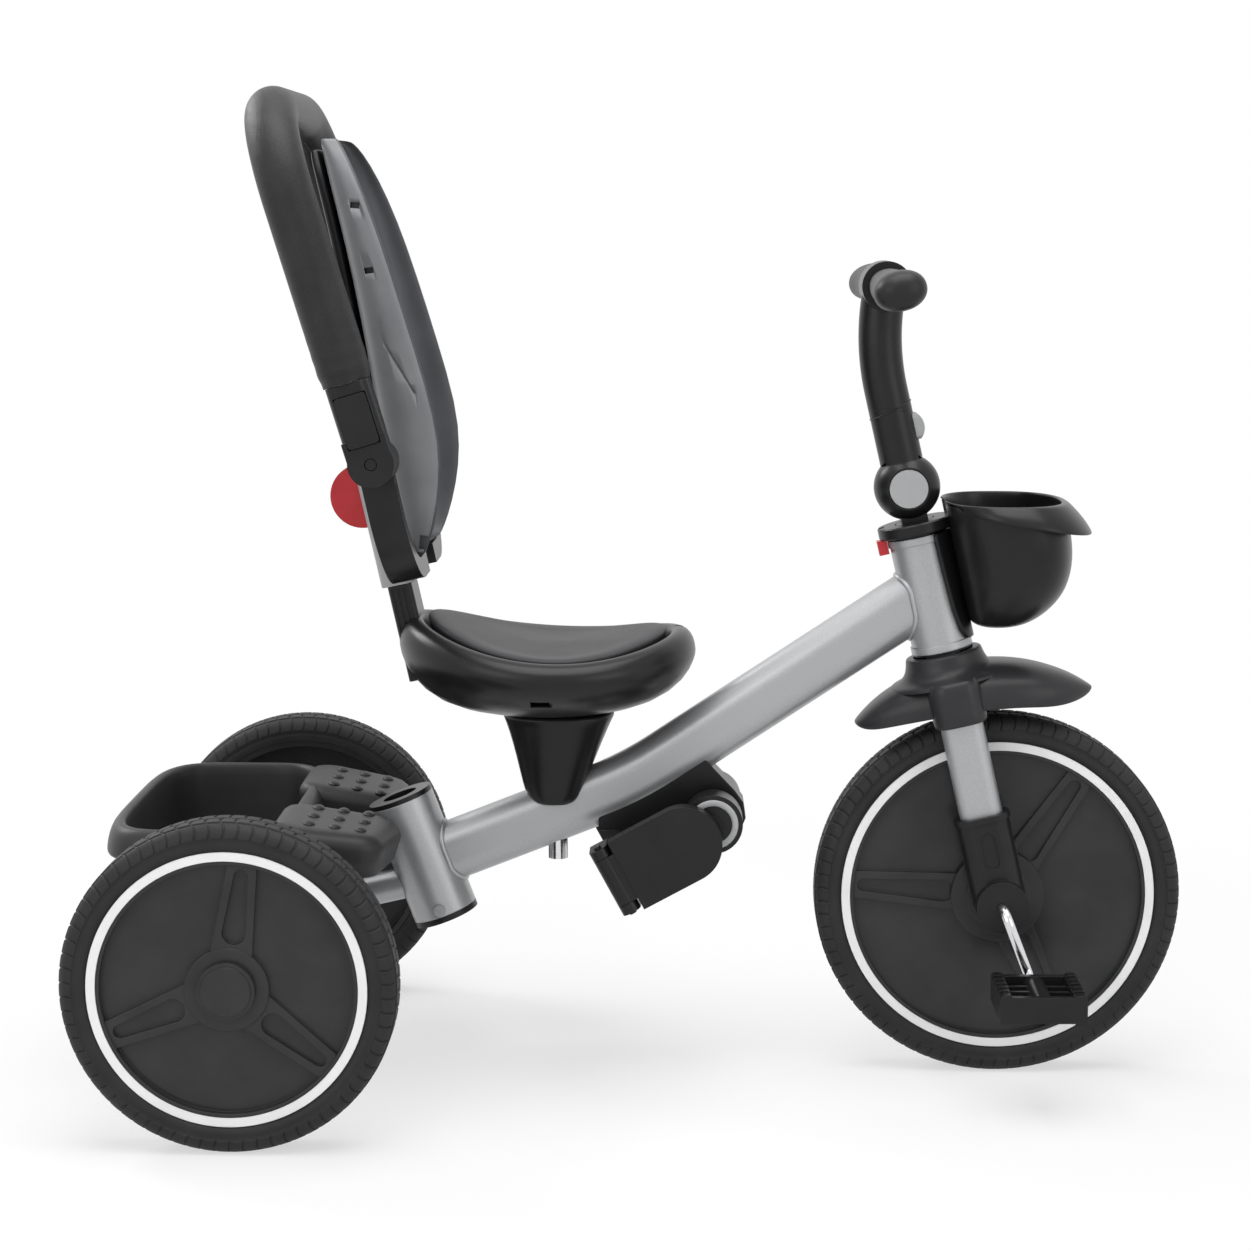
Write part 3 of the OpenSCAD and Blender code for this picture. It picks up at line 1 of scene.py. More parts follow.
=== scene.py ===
from math import atan2, copysign, cos, pi, radians, sin, sqrt
import bmesh
import bpy
from mathutils import Euler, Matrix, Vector


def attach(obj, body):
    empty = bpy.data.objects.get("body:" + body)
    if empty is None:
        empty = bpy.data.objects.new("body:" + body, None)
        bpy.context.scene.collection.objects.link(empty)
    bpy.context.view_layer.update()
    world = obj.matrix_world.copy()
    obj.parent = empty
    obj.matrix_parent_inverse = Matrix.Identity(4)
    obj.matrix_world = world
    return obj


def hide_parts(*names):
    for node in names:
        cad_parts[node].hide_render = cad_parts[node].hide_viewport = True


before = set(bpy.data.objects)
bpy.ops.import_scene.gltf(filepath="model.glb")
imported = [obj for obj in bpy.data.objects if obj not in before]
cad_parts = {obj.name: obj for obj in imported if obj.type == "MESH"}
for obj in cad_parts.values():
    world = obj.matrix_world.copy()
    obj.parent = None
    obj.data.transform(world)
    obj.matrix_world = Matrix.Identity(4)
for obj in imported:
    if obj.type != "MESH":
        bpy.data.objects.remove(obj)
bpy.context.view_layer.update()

# Welded steel frame: sloping main tube, head tube, rear yoke, push-handle socket and fork.
# Mild steel tube, sprayed with a satin silver paint and stoved. The paint has a fine
# metallic fleck and a soft orange peel, so highlights spread along the tube.
def linear(code):
    """Linear colour of an sRGB hex value."""
    parts = [int(code[i:i + 2], 16) / 255 for i in (1, 3, 5)]
    return [c / 12.92 if c <= 0.04045 else ((c + 0.055) / 1.055) ** 2.4 for c in parts] + [1.0]


def add(tree, kind, inputs=None, **settings):
    """Adds a node, makes its settings, and fills or links its inputs."""
    node = tree.nodes.new(kind)
    for key, value in settings.items():
        setattr(node, key, value)
    for key, value in (inputs or {}).items():
        if isinstance(value, bpy.types.NodeSocket):
            tree.links.new(value, node.inputs[key])
        else:
            node.inputs[key].default_value = value
    return node


def surface(name, **fixed):
    """New material; the fixed values go on the shader's own sockets."""
    material = bpy.data.materials.new(name)
    material.use_nodes = True
    shader = material.node_tree.nodes["Principled BSDF"]
    for key, value in fixed.items():
        shader.inputs[key.replace("_", " ")].default_value = value
    return material, material.node_tree, shader


def noise(tree, place, size_mm, detail):
    """Noise with patches of about that size."""
    inputs = {"Vector": place, "Scale": 1000 / size_mm, "Detail": detail}
    return add(tree, "ShaderNodeTexNoise", inputs).outputs["Fac"]


def toned(tree, shader, value, dark, light, spread=(0.0, 1.0)):
    """Base colour that runs between two tones with a texture's value."""
    tone = add(tree, "ShaderNodeValToRGB", {"Fac": value})
    for index, code in enumerate((dark, light)):
        tone.color_ramp.elements[index].position = spread[index]
        tone.color_ramp.elements[index].color = linear(code)
    tree.links.new(tone.outputs["Color"], shader.inputs["Base Color"])


def glossed(tree, shader, value, low, high):
    """Roughness that runs between two limits with a texture's value."""
    gloss = add(tree, "ShaderNodeMapRange", {"Value": value, "To Min": low, "To Max": high})
    tree.links.new(gloss.outputs["Result"], shader.inputs["Roughness"])


def finish_nodes(material, *names):
    """Gives CAD nodes their finish."""
    for name in names:
        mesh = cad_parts[name].data
        mesh.materials.clear()
        mesh.materials.append(material)


silver_paint, tree, shader = surface("silver_stoved_paint", Metallic=0.55, IOR=1.5, Coat_Weight=0.3,
    Coat_Roughness=0.16)
place = add(tree, "ShaderNodeTexCoord").outputs["Object"]
# The real fleck is finer than 0.1 mm; it is drawn coarser so that it shows.
fleck_mm = 0.9
peel_mm = 3.0
fleck = noise(tree, place, fleck_mm, 1.0)
peel = noise(tree, place, peel_mm, 2.0)
toned(tree, shader, fleck, "#9a9b9d", "#b6b7b9")
glossed(tree, shader, fleck, 0.32, 0.44)
edge = add(tree, "ShaderNodeBevel", {"Radius": 0.0012}, samples=4)
bump = add(tree, "ShaderNodeBump", {"Height": peel, "Normal": edge.outputs["Normal"],
    "Strength": 0.05, "Distance": 0.0006})
tree.links.new(bump.outputs["Normal"], shader.inputs["Normal"])
finish_nodes(silver_paint, "main_tube", "head_tube", "handle_socket", "rear_yoke", "fork")

# Moulded black fittings: headset bushes, pedestal, stem, arms, wheel discs and the rest.
# Polypropylene from a spark-eroded tool, so the skin has a fine matt grain that breaks
# up the highlight, a faint mottle, and edges with a small moulded radius.
def moulded(name, dark, light, grain_mm, rough, depth, round_mm=0.8):
    """Moulded plastic with a spark-eroded grain of that size."""
    material, tree, shader = surface(name, IOR=1.49, Specular_IOR_Level=0.26)
    place = add(tree, "ShaderNodeTexCoord").outputs["Object"]
    mottle_mm = 35
    mottle = noise(tree, place, mottle_mm, 4.0)
    grain = noise(tree, place, grain_mm, 2.0)
    toned(tree, shader, mottle, dark, light, (0.3, 0.7))
    glossed(tree, shader, grain, rough - 0.06, rough + 0.06)
    edge = add(tree, "ShaderNodeBevel", {"Radius": round_mm / 1000}, samples=4)
    bump = add(tree, "ShaderNodeBump", {"Height": grain, "Normal": edge.outputs["Normal"],
        "Strength": depth, "Distance": 0.0004})
    tree.links.new(bump.outputs["Normal"], shader.inputs["Normal"])
    return material


black_pp = moulded("black_polypropylene", "#171718", "#1e1e1f", 1.1, 0.31, 0.14)
finish_nodes(black_pp, "headset_bushes", "socket_liner", "socket_cap", "post_core", "fork_ends",
    "stem_knuckle", "stem_lower", "stem_upper", "pedal_right", "pedal_left", "side_arms", "bar_sockets",
    "bar_pins", "bar_button_right", "bar_button_left", "foot_yoke", "foot_plate_right", "foot_plate_left")

# Crank, axle, pins and screws: turned steel with bright chrome, faintly hazed by handling.
chrome, tree, shader = surface("bright_chrome", Metallic=1.0)
place = add(tree, "ShaderNodeTexCoord").outputs["Object"]
haze_mm = 6
haze = noise(tree, place, haze_mm, 3.0)
glossed(tree, shader, haze, 0.1, 0.2)
toned(tree, shader, haze, "#cfcfd2", "#dedee0")
finish_nodes(chrome, "rear_axle", "seat_post", "handlebar_tube", "fold_pin", "crank", "bar_tube")

# Mudguard over the front wheel: one moulding with a collar round the fork crown and a sleeve
# on each leg. Dark grey polypropylene with a satin skin; the shell runs out to a point.

# The frame's origin lies this far ahead of the rear axle, in mm.
origin_x = 311


def metres(point):
    """Place in the frame of a point in millimetres, X counted from the rear axle."""
    x, y, z = point
    return ((x - origin_x) / 1000, y / 1000, z / 1000)


def built(name, points, faces, material):
    """Smooth mesh object from points in millimetres."""
    mesh = bpy.data.meshes.new(name)
    mesh.from_pydata([metres(p) for p in points], [], faces)
    shape = bmesh.new()
    shape.from_mesh(mesh)
    bmesh.ops.remove_doubles(shape, verts=shape.verts, dist=1e-6)
    bmesh.ops.recalc_face_normals(shape, faces=shape.faces)
    for face in shape.faces:
        face.smooth = True
    shape.to_mesh(mesh)
    shape.free()
    mesh.materials.append(material)
    thing = bpy.data.objects.new(name, mesh)
    bpy.context.collection.objects.link(thing)
    return thing


def skin(rings, start=True, end=True):
    """Points and faces through closed rings of equal count, with flat ends where asked."""
    count = len(rings[0])
    faces = []
    for k in range(len(rings) - 1):
        for i in range(count):
            j = (i + 1) % count
            faces.append((k * count + i, k * count + j, (k + 1) * count + j, (k + 1) * count + i))
    if start:
        faces.append(tuple(range(count)))
    if end:
        faces.append(tuple(range((len(rings) - 1) * count, len(rings) * count)))
    return [p for ring in rings for p in ring], faces


def merged(*parts):
    """Points and faces of several shapes in one."""
    points, faces = [], []
    for part_points, part_faces in parts:
        shift = len(points)
        points += part_points
        faces += [tuple(i + shift for i in face) for face in part_faces]
    return points, faces


def settled(thing, rounds=0):
    """Rounds a piece by subdivision where asked, and makes its modifiers' result its mesh."""
    if rounds:
        smooth = thing.modifiers.new("round", "SUBSURF")
        smooth.levels = rounds
        smooth.render_levels = rounds
    bpy.context.view_layer.update()
    result = bpy.data.meshes.new_from_object(thing.evaluated_get(bpy.context.evaluated_depsgraph_get()))
    thing.modifiers.clear()
    thing.data = result
    return thing


def fitted(thing, body, slot, *nodes):
    """Puts a finished piece on its body and hides the CAD nodes that it stands for; the slot is not used."""
    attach(thing, body)
    if nodes:
        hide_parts(*nodes)
    return thing


def power(value, exponent):
    return copysign(abs(value) ** exponent, value)


hub_x, hub_z, rake = 600, 150, radians(13)


def steered(x, y, s):
    """Point given ahead of the steering axis and up it from the front hub."""
    return (hub_x + x * cos(rake) - s * sin(rake), y, hub_z + x * sin(rake) + s * cos(rake))


def hoop(r, s):
    """Ring round the steering axis."""
    return [steered(r * cos(t * pi / 24), r * sin(t * pi / 24), s) for t in range(48)]


grey_pp = moulded("dark_grey_polypropylene", "#2b2b2d", "#343436", 1.0, 0.34, 0.12)
guard_r, guard_half_w, guard_skirt, guard_wall = 190, 47, 36, 3
# Each station: angle ahead of the steering axis, lift of the ridge, shares of half width and skirt
guard_stations = [(-27, -6, 0.15, 0.06), (-26, -5, 0.32, 0.25), (-23, -3, 0.51, 0.45), (-18, 0, 0.7, 0.65),
    (-10, 3, 0.89, 0.87), (0, 5, 1, 1), (10, 5.5, 1, 1), (19, 5, 0.96, 0.93), (26, 3, 0.85, 0.8),
    (31, 1.5, 0.65, 0.62), (34.5, -0.5, 0.42, 0.38), (36.2, -1.5, 0.25, 0.2), (36.9, -2, 0.12, 0.06)]


def guard_arch(station, inset):
    turn, lift, width, skirt = station
    line = []
    for i in range(25):
        a = pi * i / 24
        r = guard_r + lift - inset - (guard_skirt * skirt - inset) * (1 - power(sin(a), 0.75))
        y = (guard_half_w * width - inset) * power(cos(a), 0.75)
        line.append(steered(r * sin(radians(turn)), y, r * cos(radians(turn))))
    return line


shell = skin([guard_arch(s, 0) + guard_arch(s, guard_wall)[::-1] for s in guard_stations])
collar_line = [(31.0, 205.2), (31.6, 203.0), (33.0, 196.0), (36.0, 190.5), (41.0, 187.0), (49.0, 185.0),
    (49.0, 182.0)]
collar = skin([hoop(r, s) for r, s in collar_line], False, False)
top = skin([hoop(r, collar_line[0][1]) for r in (31.0, 25.0)], False, False)
leg_y, leg_r, leg_flat = 40, 11, 6.5


def leg_ring(side, s, grow):
    ring = []
    for i in range(48):
        a = 2 * pi * i / 48
        x = (leg_r + grow) * cos(a) + copysign(leg_flat, cos(a))
        ring.append(steered(x, side * leg_y + (leg_r + grow) * sin(a), s))
    return ring


# Each ring of a sleeve: height up the steering axis and how far it stands off the leg
sleeve_line = [(186, 0.6), (183, 3.2), (176, 4.2), (160, 4.2), (152, 4.4), (150, 3.6), (150.5, 0.6),
    (154, 0.6)]
sleeves = []
for side in (-1, 1):
    sleeves.append(skin([leg_ring(side, s, grow) for s, grow in sleeve_line], False, False))
mudguard = built("mudguard_moulding", *merged(shell, collar, top, *sleeves), grey_pp)
fitted(settled(mudguard, 2), "steering", "dark_plastic", "mudguard")

# Tyres: solid EVA foam, one on each wheel. The carcass is turned on a lathe outline and the
# tread stands on it: slanted shoulder blocks and two staggered crown rows, repeated round it.
def ring_of_copies():
    """Node tree that repeats its mesh round the Y axis and moves the ring to its hub."""
    tree = bpy.data.node_groups.new("ring_of_copies", "GeometryNodeTree")
    wanted = (("Geometry", "Geometry"), ("Count", "Int"), ("Hub", "Vector"), ("Finish", "Material"))
    for name, kind in wanted:
        tree.interface.new_socket(name, in_out="INPUT", socket_type="NodeSocket" + kind)
    tree.interface.new_socket("Geometry", in_out="OUTPUT", socket_type="NodeSocketGeometry")
    given = add(tree, "NodeGroupInput").outputs
    points = add(tree, "GeometryNodePoints", {"Count": given["Count"]}).outputs[0]
    step = add(tree, "ShaderNodeMath", {0: 2 * pi, 1: given["Count"]}, operation="DIVIDE").outputs[0]
    index = add(tree, "GeometryNodeInputIndex").outputs[0]
    turn = add(tree, "ShaderNodeMath", {0: index, 1: step}, operation="MULTIPLY").outputs[0]
    angles = add(tree, "ShaderNodeCombineXYZ", {"Y": turn}).outputs[0]
    copies = add(tree, "GeometryNodeInstanceOnPoints", {"Points": points, "Instance": given["Geometry"],
        "Rotation": angles}).outputs[0]
    moved = add(tree, "GeometryNodeTransform", {"Geometry": copies, "Translation": given["Hub"]}).outputs[0]
    solid = add(tree, "GeometryNodeRealizeInstances", {"Geometry": moved}).outputs[0]
    done = add(tree, "GeometryNodeSetMaterial", {"Geometry": solid, "Material": given["Finish"]}).outputs[0]
    add(tree, "NodeGroupOutput", {"Geometry": done})
    return tree


def repeated(thing, tree, **inputs):
    """Runs a node tree on a piece, with its inputs set by their identifiers."""
    nodes = thing.modifiers.new("copies", "NODES")
    nodes.node_group = tree
    for item in tree.interface.items_tree:
        if item.in_out == "INPUT" and item.name in inputs:
            nodes[item.identifier] = inputs[item.name]
    return settled(thing)


foam = moulded("eva_foam", "#222223", "#2b2b2c", 1.4, 0.58, 0.22)
tread_tree = ring_of_copies()
tread_h, tyre_half_w, shoulder_r = 0.9, 22.0, 12.0


def tread_point(r, arc, turn, lift):
    """Point on the tyre: arc runs in mm from the shoulder's foot over the crown."""
    a = min(arc / shoulder_r, pi / 2)
    flat = max(arc - shoulder_r * pi / 2, 0)
    out = r - tread_h - shoulder_r + (shoulder_r + lift) * sin(a)
    across = tyre_half_w - shoulder_r + (shoulder_r - tread_h + lift) * cos(a) - flat
    return (out * cos(turn) + origin_x, across, out * sin(turn))


def tread_block(r, arc0, arc1, turn0, turn1, slant, side):
    """One raised block, its foot a little larger than its top."""
    rows, columns = 7, 4
    points, faces = [], []
    for lift, grow in ((-0.6, 1.08), (tread_h, 0.94)):
        for i in range(rows):
            u = 0.5 + (i / (rows - 1) - 0.5) * grow
            for j in range(columns):
                v = 0.5 + (j / (columns - 1) - 0.5) * grow
                turn = turn0 + (turn1 - turn0) * v + slant * (u - 0.5) ** 2
                x, y, z = tread_point(r, arc0 + (arc1 - arc0) * u, turn, lift)
                points.append((x, side * y, z))
    size = rows * columns
    rim = list(range(columns)) + [i * columns + columns - 1 for i in range(1, rows)]
    rim += [(rows - 1) * columns + j for j in range(columns - 2, -1, -1)]
    rim += [i * columns for i in range(rows - 2, 0, -1)]
    for i in range(rows - 1):
        for j in range(columns - 1):
            a = size + i * columns + j
            faces.append((a, a + 1, a + columns + 1, a + columns))
    for a, b in zip(rim, rim[1:] + rim[:1]):
        faces.append((a, b, b + size, a + size))
    return points, faces


def tyre(name, body, node, hub, r, count):
    """Carcass turned round the hub, with its tread."""
    depth = 21.0
    half = [(r - depth, 20.0), (r - 17, 20.7), (r - 14.6, 20.9), (r - 13.6, 20.5)]
    for arc in (0.0, 3.0, 6.0, 9.0, 12.0, 15.0, 18.85, 24.0, 28.85):
        x, y, z = tread_point(r, arc, 0, 0)
        half.append((x - origin_x, y))
    outline = half + [(x, -y) for x, y in half[::-1][1:]]
    steps = 144
    rings = [[(hub[0] + x * cos(2 * pi * k / steps), hub[1] + y, hub[2] + x * sin(2 * pi * k / steps))
        for x, y in outline] for k in range(steps)]
    size = len(outline)
    faces = []
    for k in range(steps):
        for i in range(size):
            a, b = k * size, ((k + 1) % steps) * size
            faces.append((a + i, a + (i + 1) % size, b + (i + 1) % size, b + i))
    carcass = built(name, [p for ring in rings for p in ring], faces, foam)
    pitch = 2 * pi / count
    blocks = []
    for side, offset in ((1, 0.0), (-1, 0.5)):
        start = offset * pitch
        blocks.append(tread_block(r, 1.2, 14.5, start, start + 0.9 * pitch, 0.5 * pitch, side))
        start = (offset + 0.4) * pitch
        blocks.append(tread_block(r, 16.6, 27.8, start, start + 0.89 * pitch, -0.7 * pitch, side))
    tread = built(name + "_tread", *merged(*blocks), foam)
    repeated(tread, tread_tree, Count=count, Hub=metres(hub), Finish=foam)
    edges = tread.modifiers.new("block_edges", "BEVEL")
    edges.width = 0.0004
    edges.segments = 1
    settled(tread)
    for face in tread.data.polygons:
        face.use_smooth = False
    fitted(carcass, body, "tyre_foam", node)
    fitted(tread, body, "tyre_foam")


rear_y, rear_r = 225, 128
tyre("front_tyre_foam", "front_wheel", "front_tyre", (hub_x, 0, hub_z), hub_z, 82)
tyre("rear_tyre_foam_right", "rear_wheel_right", "rear_tyre_right", (0, -rear_y, rear_r), rear_r, 70)
tyre("rear_tyre_foam_left", "rear_wheel_left", "rear_tyre_left", (0, rear_y, rear_r), rear_r, 70)

# Wheel discs and hub caps: a glossier black polypropylene from a polished tool, so the edges of
# the spokes catch the light.
wheel_pp = moulded("polished_black_polypropylene", "#2c2c2d", "#343435", 1.2, 0.24, 0.06, 1.6)
finish_nodes(wheel_pp, "front_disc", "front_hub_covers", "rear_disc_right", "hub_cap_right",
    "rear_disc_left", "hub_cap_left")

# Pale rings pressed into the wheel discs, moulded in a gloss white.
white_abs = moulded("gloss_white_abs", "#efefef", "#f6f6f6", 0.8, 0.3, 0.04)
finish_nodes(white_abs, "front_rings", "rear_ring_right", "rear_ring_left")

# Weld beads where the main tube meets the head tube and the handle socket, painted with them,
# and the seam between the two halves of the stem.
def swept(path, r, sides=10):
    """Bead of that radius along a closed path."""
    spots = [Vector(p) for p in path]
    rings = []
    for k, spot in enumerate(spots):
        way = (spots[(k + 1) % len(spots)] - spots[k - 1]).normalized()
        side = way.cross(Vector((0.3, 0.2, 0.93))).normalized()
        up = side.cross(way)
        rings.append([tuple(spot + r * (cos(2 * pi * i / sides) * side + sin(2 * pi * i / sides) * up))
            for i in range(sides)])
    return skin(rings + rings[:1], False, False)


# Main tube: radius and half the flat of its oval, and the point of its bend; then the bead's radius
tube_r, tube_flat, bend_x, bend_z, bead_r = 18, 7.0, 300, 240.7, 2.4


def joint_line(slope, foot, lean, r, side):
    """Where the tube, sloping through its bend point, meets an upright round tube."""
    slope, lean = radians(slope), radians(lean)
    line = []
    for i in range(64):
        a = 2 * pi * i / 64
        v = tube_r * sin(a) + copysign(tube_flat, sin(a))
        y = tube_r * cos(a)
        x0, z0 = bend_x - v * sin(slope), bend_z + v * cos(slope)
        ahead = (x0 - foot[0]) * cos(lean) + (z0 - foot[1]) * sin(lean)
        t = (side * sqrt(r * r - y * y) - ahead) / (cos(slope) * cos(lean) + sin(slope) * sin(lean))
        line.append((x0 + t * cos(slope), y, z0 + t * sin(slope)))
    return line


beads = merged(swept(joint_line(33.5, (hub_x, hub_z), 13, 24, -1), bead_r),
    swept(joint_line(21.5, (143.5, 131), 20.8, 27, 1), bead_r))
fitted(built("weld_beads", *beads, silver_paint), "frame", "silver_paint")
stem_r, seam_s, seam_slant = 17.6, 408, 0.249
seam_line = []
for t in range(64):
    ahead = stem_r * cos(t * pi / 32)
    seam_line.append(steered(ahead, stem_r * sin(t * pi / 32), seam_s + ahead * seam_slant))
fitted(built("stem_seam", *swept(seam_line, 0.6), black_pp), "handlebar", "black_plastic")

# Light grey buttons and post cover, moulded in a smooth ABS.
grey_abs = moulded("light_grey_abs", "#a9aaab", "#b3b4b5", 0.8, 0.36, 0.06)
finish_nodes(grey_abs, "pivot_button_right", "pivot_button_left", "stem_button", "post_cover")

# Red release tab and height button, moulded in a smooth ABS.
red_abs = moulded("red_abs", "#bf3238", "#cb3c42", 0.8, 0.36, 0.05)
finish_nodes(red_abs, "lock_tab", "height_button")

# Handlebar grips: soft black mouldings pushed on the tube, slim inside and swelling to a
# rounded bulb at the end.
def oval(x, z, rx, ry, e=1.0, rise=0.0, saddle=0.0, count=64):
    """Flat ring with squarer corners for a smaller e, tilted by rise and saddled."""
    ring = []
    for i in range(count):
        a = 2 * pi * i / count
        away = power(cos(a), e)
        ring.append((x + rx * away, ry * power(sin(a), e), z - rise * away + saddle * cos(2 * a)))
    return ring


soft_black = moulded("soft_black_moulding", "#1c1c1d", "#242425", 1.2, 0.42, 0.16)
grip_len = 161
# Each ring of a grip: share of its length, half sizes fore and aft and upright
grip_line = [(0.002, 13.0, 13.0), (0.004, 14.0, 13.8), (0.03, 14.7, 14.3), (0.2, 15.2, 14.5),
    (0.4, 15.5, 14.5), (0.6, 16.0, 14.5), (0.74, 18.3, 15.0), (0.84, 20.4, 15.5), (0.91, 20.4, 15.4),
    (0.955, 18.0, 13.8), (0.985, 13.2, 10.4), (0.998, 7.0, 5.6), (1.0, 3.0, 2.4)]
bar_x, bar_s, grip_start = 17.29, 344 + 162.35, 24


def grip(side):
    """Grip turned sideways: its rings stand across the bar."""
    rings = []
    for f, rx, ry in grip_line:
        ring = oval(0, grip_len * f, rx, ry, 0.95)
        rings.append([steered(bar_x + x, side * (grip_start + z), bar_s + y) for x, y, z in ring])
    return skin(rings)


grips = built("handlebar_grips", *merged(grip(-1), grip(1)), soft_black)
fitted(settled(grips, 1), "handlebar", "black_plastic", "grips")

# Front basket: deep moulded scoop on the head tube with a flared skirt that dips ahead. A flange
# on its back hugs the head tube and its rear edge is caught under the headset cap. Polypropylene.
scoop_top, scoop_depth, scoop_half_l, scoop_half_w = 477, 105, 49, 70
# Distance of the basket's back from the steering axis
scoop_off = 25.5


def scoop_ring(f, grow, lift=0.0, droop=0.0):
    swell = 0.42 + 0.58 * (1 - (1 - f) ** 4)
    z = scoop_top - scoop_depth * (1 - f)
    back = hub_x - (z - hub_z) * sin(rake) / cos(rake) + scoop_off / cos(rake)
    rx = scoop_half_l * swell + grow
    ry = scoop_half_w * swell + grow
    return oval(back + rx + max(-grow, 0), z + lift, rx, ry, 0.8, droop)


# Each ring: share of the depth, how far it stands out, its lift, and its dip ahead
scoop_line = [(0, -16), (0, -9), (0.02, -3), (0.06, 0), (0.16, 0), (0.32, 0), (0.55, 0), (0.76, 0),
    (0.9, 0.1), (0.955, 0.5), (0.962, 1.6), (0.93, 4.0, 0, 3), (0.85, 7.4, 0, 9), (0.835, 8.4, 0, 10),
    (0.835, 9.2, 0, 10), (0.85, 9.5, 0, 10), (0.91, 7.0, 0, 6), (0.98, 3.0, -2, 1), (0.995, 1.6, -2),
    (1, 0.6, -2), (1, -0.8, -1.6), (1, -2.2, -2), (0.98, -2.8, -2), (0.9, -3), (0.8, -3), (0.55, -3),
    (0.32, -3), (0.16, -3, 3), (0.06, -5, 3), (0, -9, 4), (0, -16, 4)]
scoop = built("front_basket_moulding", *skin([scoop_ring(*r) for r in scoop_line]), black_pp)
settled(scoop, 2)


def cut(thing, *cutters):
    """Takes closed shapes out of a piece."""
    for points, faces in cutters:
        knife = built("knife", points, faces, thing.data.materials[0])
        trim = thing.modifiers.new("trim", "BOOLEAN")
        trim.operation = "DIFFERENCE"
        trim.solver = "EXACT"
        trim.object = knife
        settled(thing)
        bpy.data.objects.remove(knife)
    return thing


cap_r, cap_s0, joint_top_s = 31.5, 305.5, 420
cut(scoop, skin([hoop(cap_r, cap_s0), hoop(cap_r, joint_top_s)]))
fitted(scoop, "frame", "black_plastic", "front_basket")
flange_out, flange_in = 27.6, 24.5
flange = []
for s, half in ((214, 34), (215, 40), (222, 50), (240, 58), (270, 62), (296, 64), (303, 64), (304, 60)):
    wide = [radians(half * (i / 12 - 1)) for i in range(25)]
    flange.append([steered(flange_out * cos(a), flange_out * sin(a), s) for a in wide]
        + [steered(flange_in * cos(a), flange_in * sin(a), s) for a in wide[::-1]])
flange = built("front_basket_flange", *skin(flange), black_pp)
fitted(flange, "frame", "black_plastic")

# Rear basket: moulded tub behind the seat with a broad sloping rim, and two foot decks that run
# on from it beside the handle socket. Each deck slopes ahead and has rows of oval grip bumps.
tub_top, tub_x, tub_half_l, tub_half_w = 228, -40, 80, 150


def tub_ring(z, inset):
    return oval(tub_x, z, tub_half_l - inset, tub_half_w - inset, 0.45, count=96)


# Each ring: height, and how far it lies inside the rim
tub_line = [(148, 40), (148, 26), (150, 20.5), (156, 17.5), (188, 12), (203, 8.6), (204.5, 5), (203, 1.2),
    (204.5, 0), (208, 0), (217, 1.6), (224, 4.4), (227.4, 8), (228, 11.4), (226.6, 14), (222, 15.2),
    (188, 17), (159, 21.6), (153, 25), (151, 31), (151, 44)]
matt_pp = moulded("matt_black_polypropylene", "#2b2b2c", "#343435", 1.0, 0.44, 0.18)
rear_basket = built("rear_basket_moulding", *skin([tub_ring(*r) for r in tub_line]), matt_pp)
fitted(settled(rear_basket, 1), "frame", "black_plastic", "rear_basket")
deck_spots = ((40, 54), (40, 114), (82, 106), (89, 54))
deck_slope, deck_back, deck_foot = 0.16, 34, 186


def deck_top(x):
    """Height of the sloping deck."""
    return tub_top + 1 - deck_slope * (x - deck_back)


def deck_ring(side, r, drop):
    """Outline round the deck's corners, at a drop below its top; a large drop ends level."""
    ring = []
    for i in range(96):
        d = (cos(2 * pi * i / 96), sin(2 * pi * i / 96))
        spot = max(deck_spots, key=lambda p: p[0] * d[0] + p[1] * d[1])
        x = spot[0] + r * d[0]
        ring.append((x, side * (spot[1] + r * d[1]), max(deck_top(x) - drop, deck_foot)))
    return ring


deck_line = [(14, 60), (18, 60), (24, 12), (23.4, 8), (21.4, 4.4), (18, 1.8), (13, 0.4), (6, 0)]
decks = [skin([deck_ring(side, r, drop) for r, drop in deck_line]) for side in (-1, 1)]
deck_pair = built("foot_decks", *merged(*decks), matt_pp)
fitted(deck_pair, "frame", "black_plastic")


def copies_at_points():
    """Node tree that sets its mesh on the points of another object, turned by their attribute."""
    tree = bpy.data.node_groups.new("copies_at_points", "GeometryNodeTree")
    for name, kind in (("Geometry", "Geometry"), ("Spots", "Object"), ("Finish", "Material")):
        tree.interface.new_socket(name, in_out="INPUT", socket_type="NodeSocket" + kind)
    tree.interface.new_socket("Geometry", in_out="OUTPUT", socket_type="NodeSocketGeometry")
    given = add(tree, "NodeGroupInput").outputs
    spots = add(tree, "GeometryNodeObjectInfo", {"Object": given["Spots"]}).outputs["Geometry"]
    turn = add(tree, "GeometryNodeInputNamedAttribute", {"Name": "turn"}, data_type="FLOAT_VECTOR")
    copies = add(tree, "GeometryNodeInstanceOnPoints", {"Points": spots, "Instance": given["Geometry"],
        "Rotation": turn.outputs[0]}).outputs[0]
    solid = add(tree, "GeometryNodeRealizeInstances", {"Geometry": copies}).outputs[0]
    done = add(tree, "GeometryNodeSetMaterial", {"Geometry": solid, "Material": given["Finish"]}).outputs[0]
    add(tree, "NodeGroupOutput", {"Geometry": done})
    return tree


spots_tree = copies_at_points()


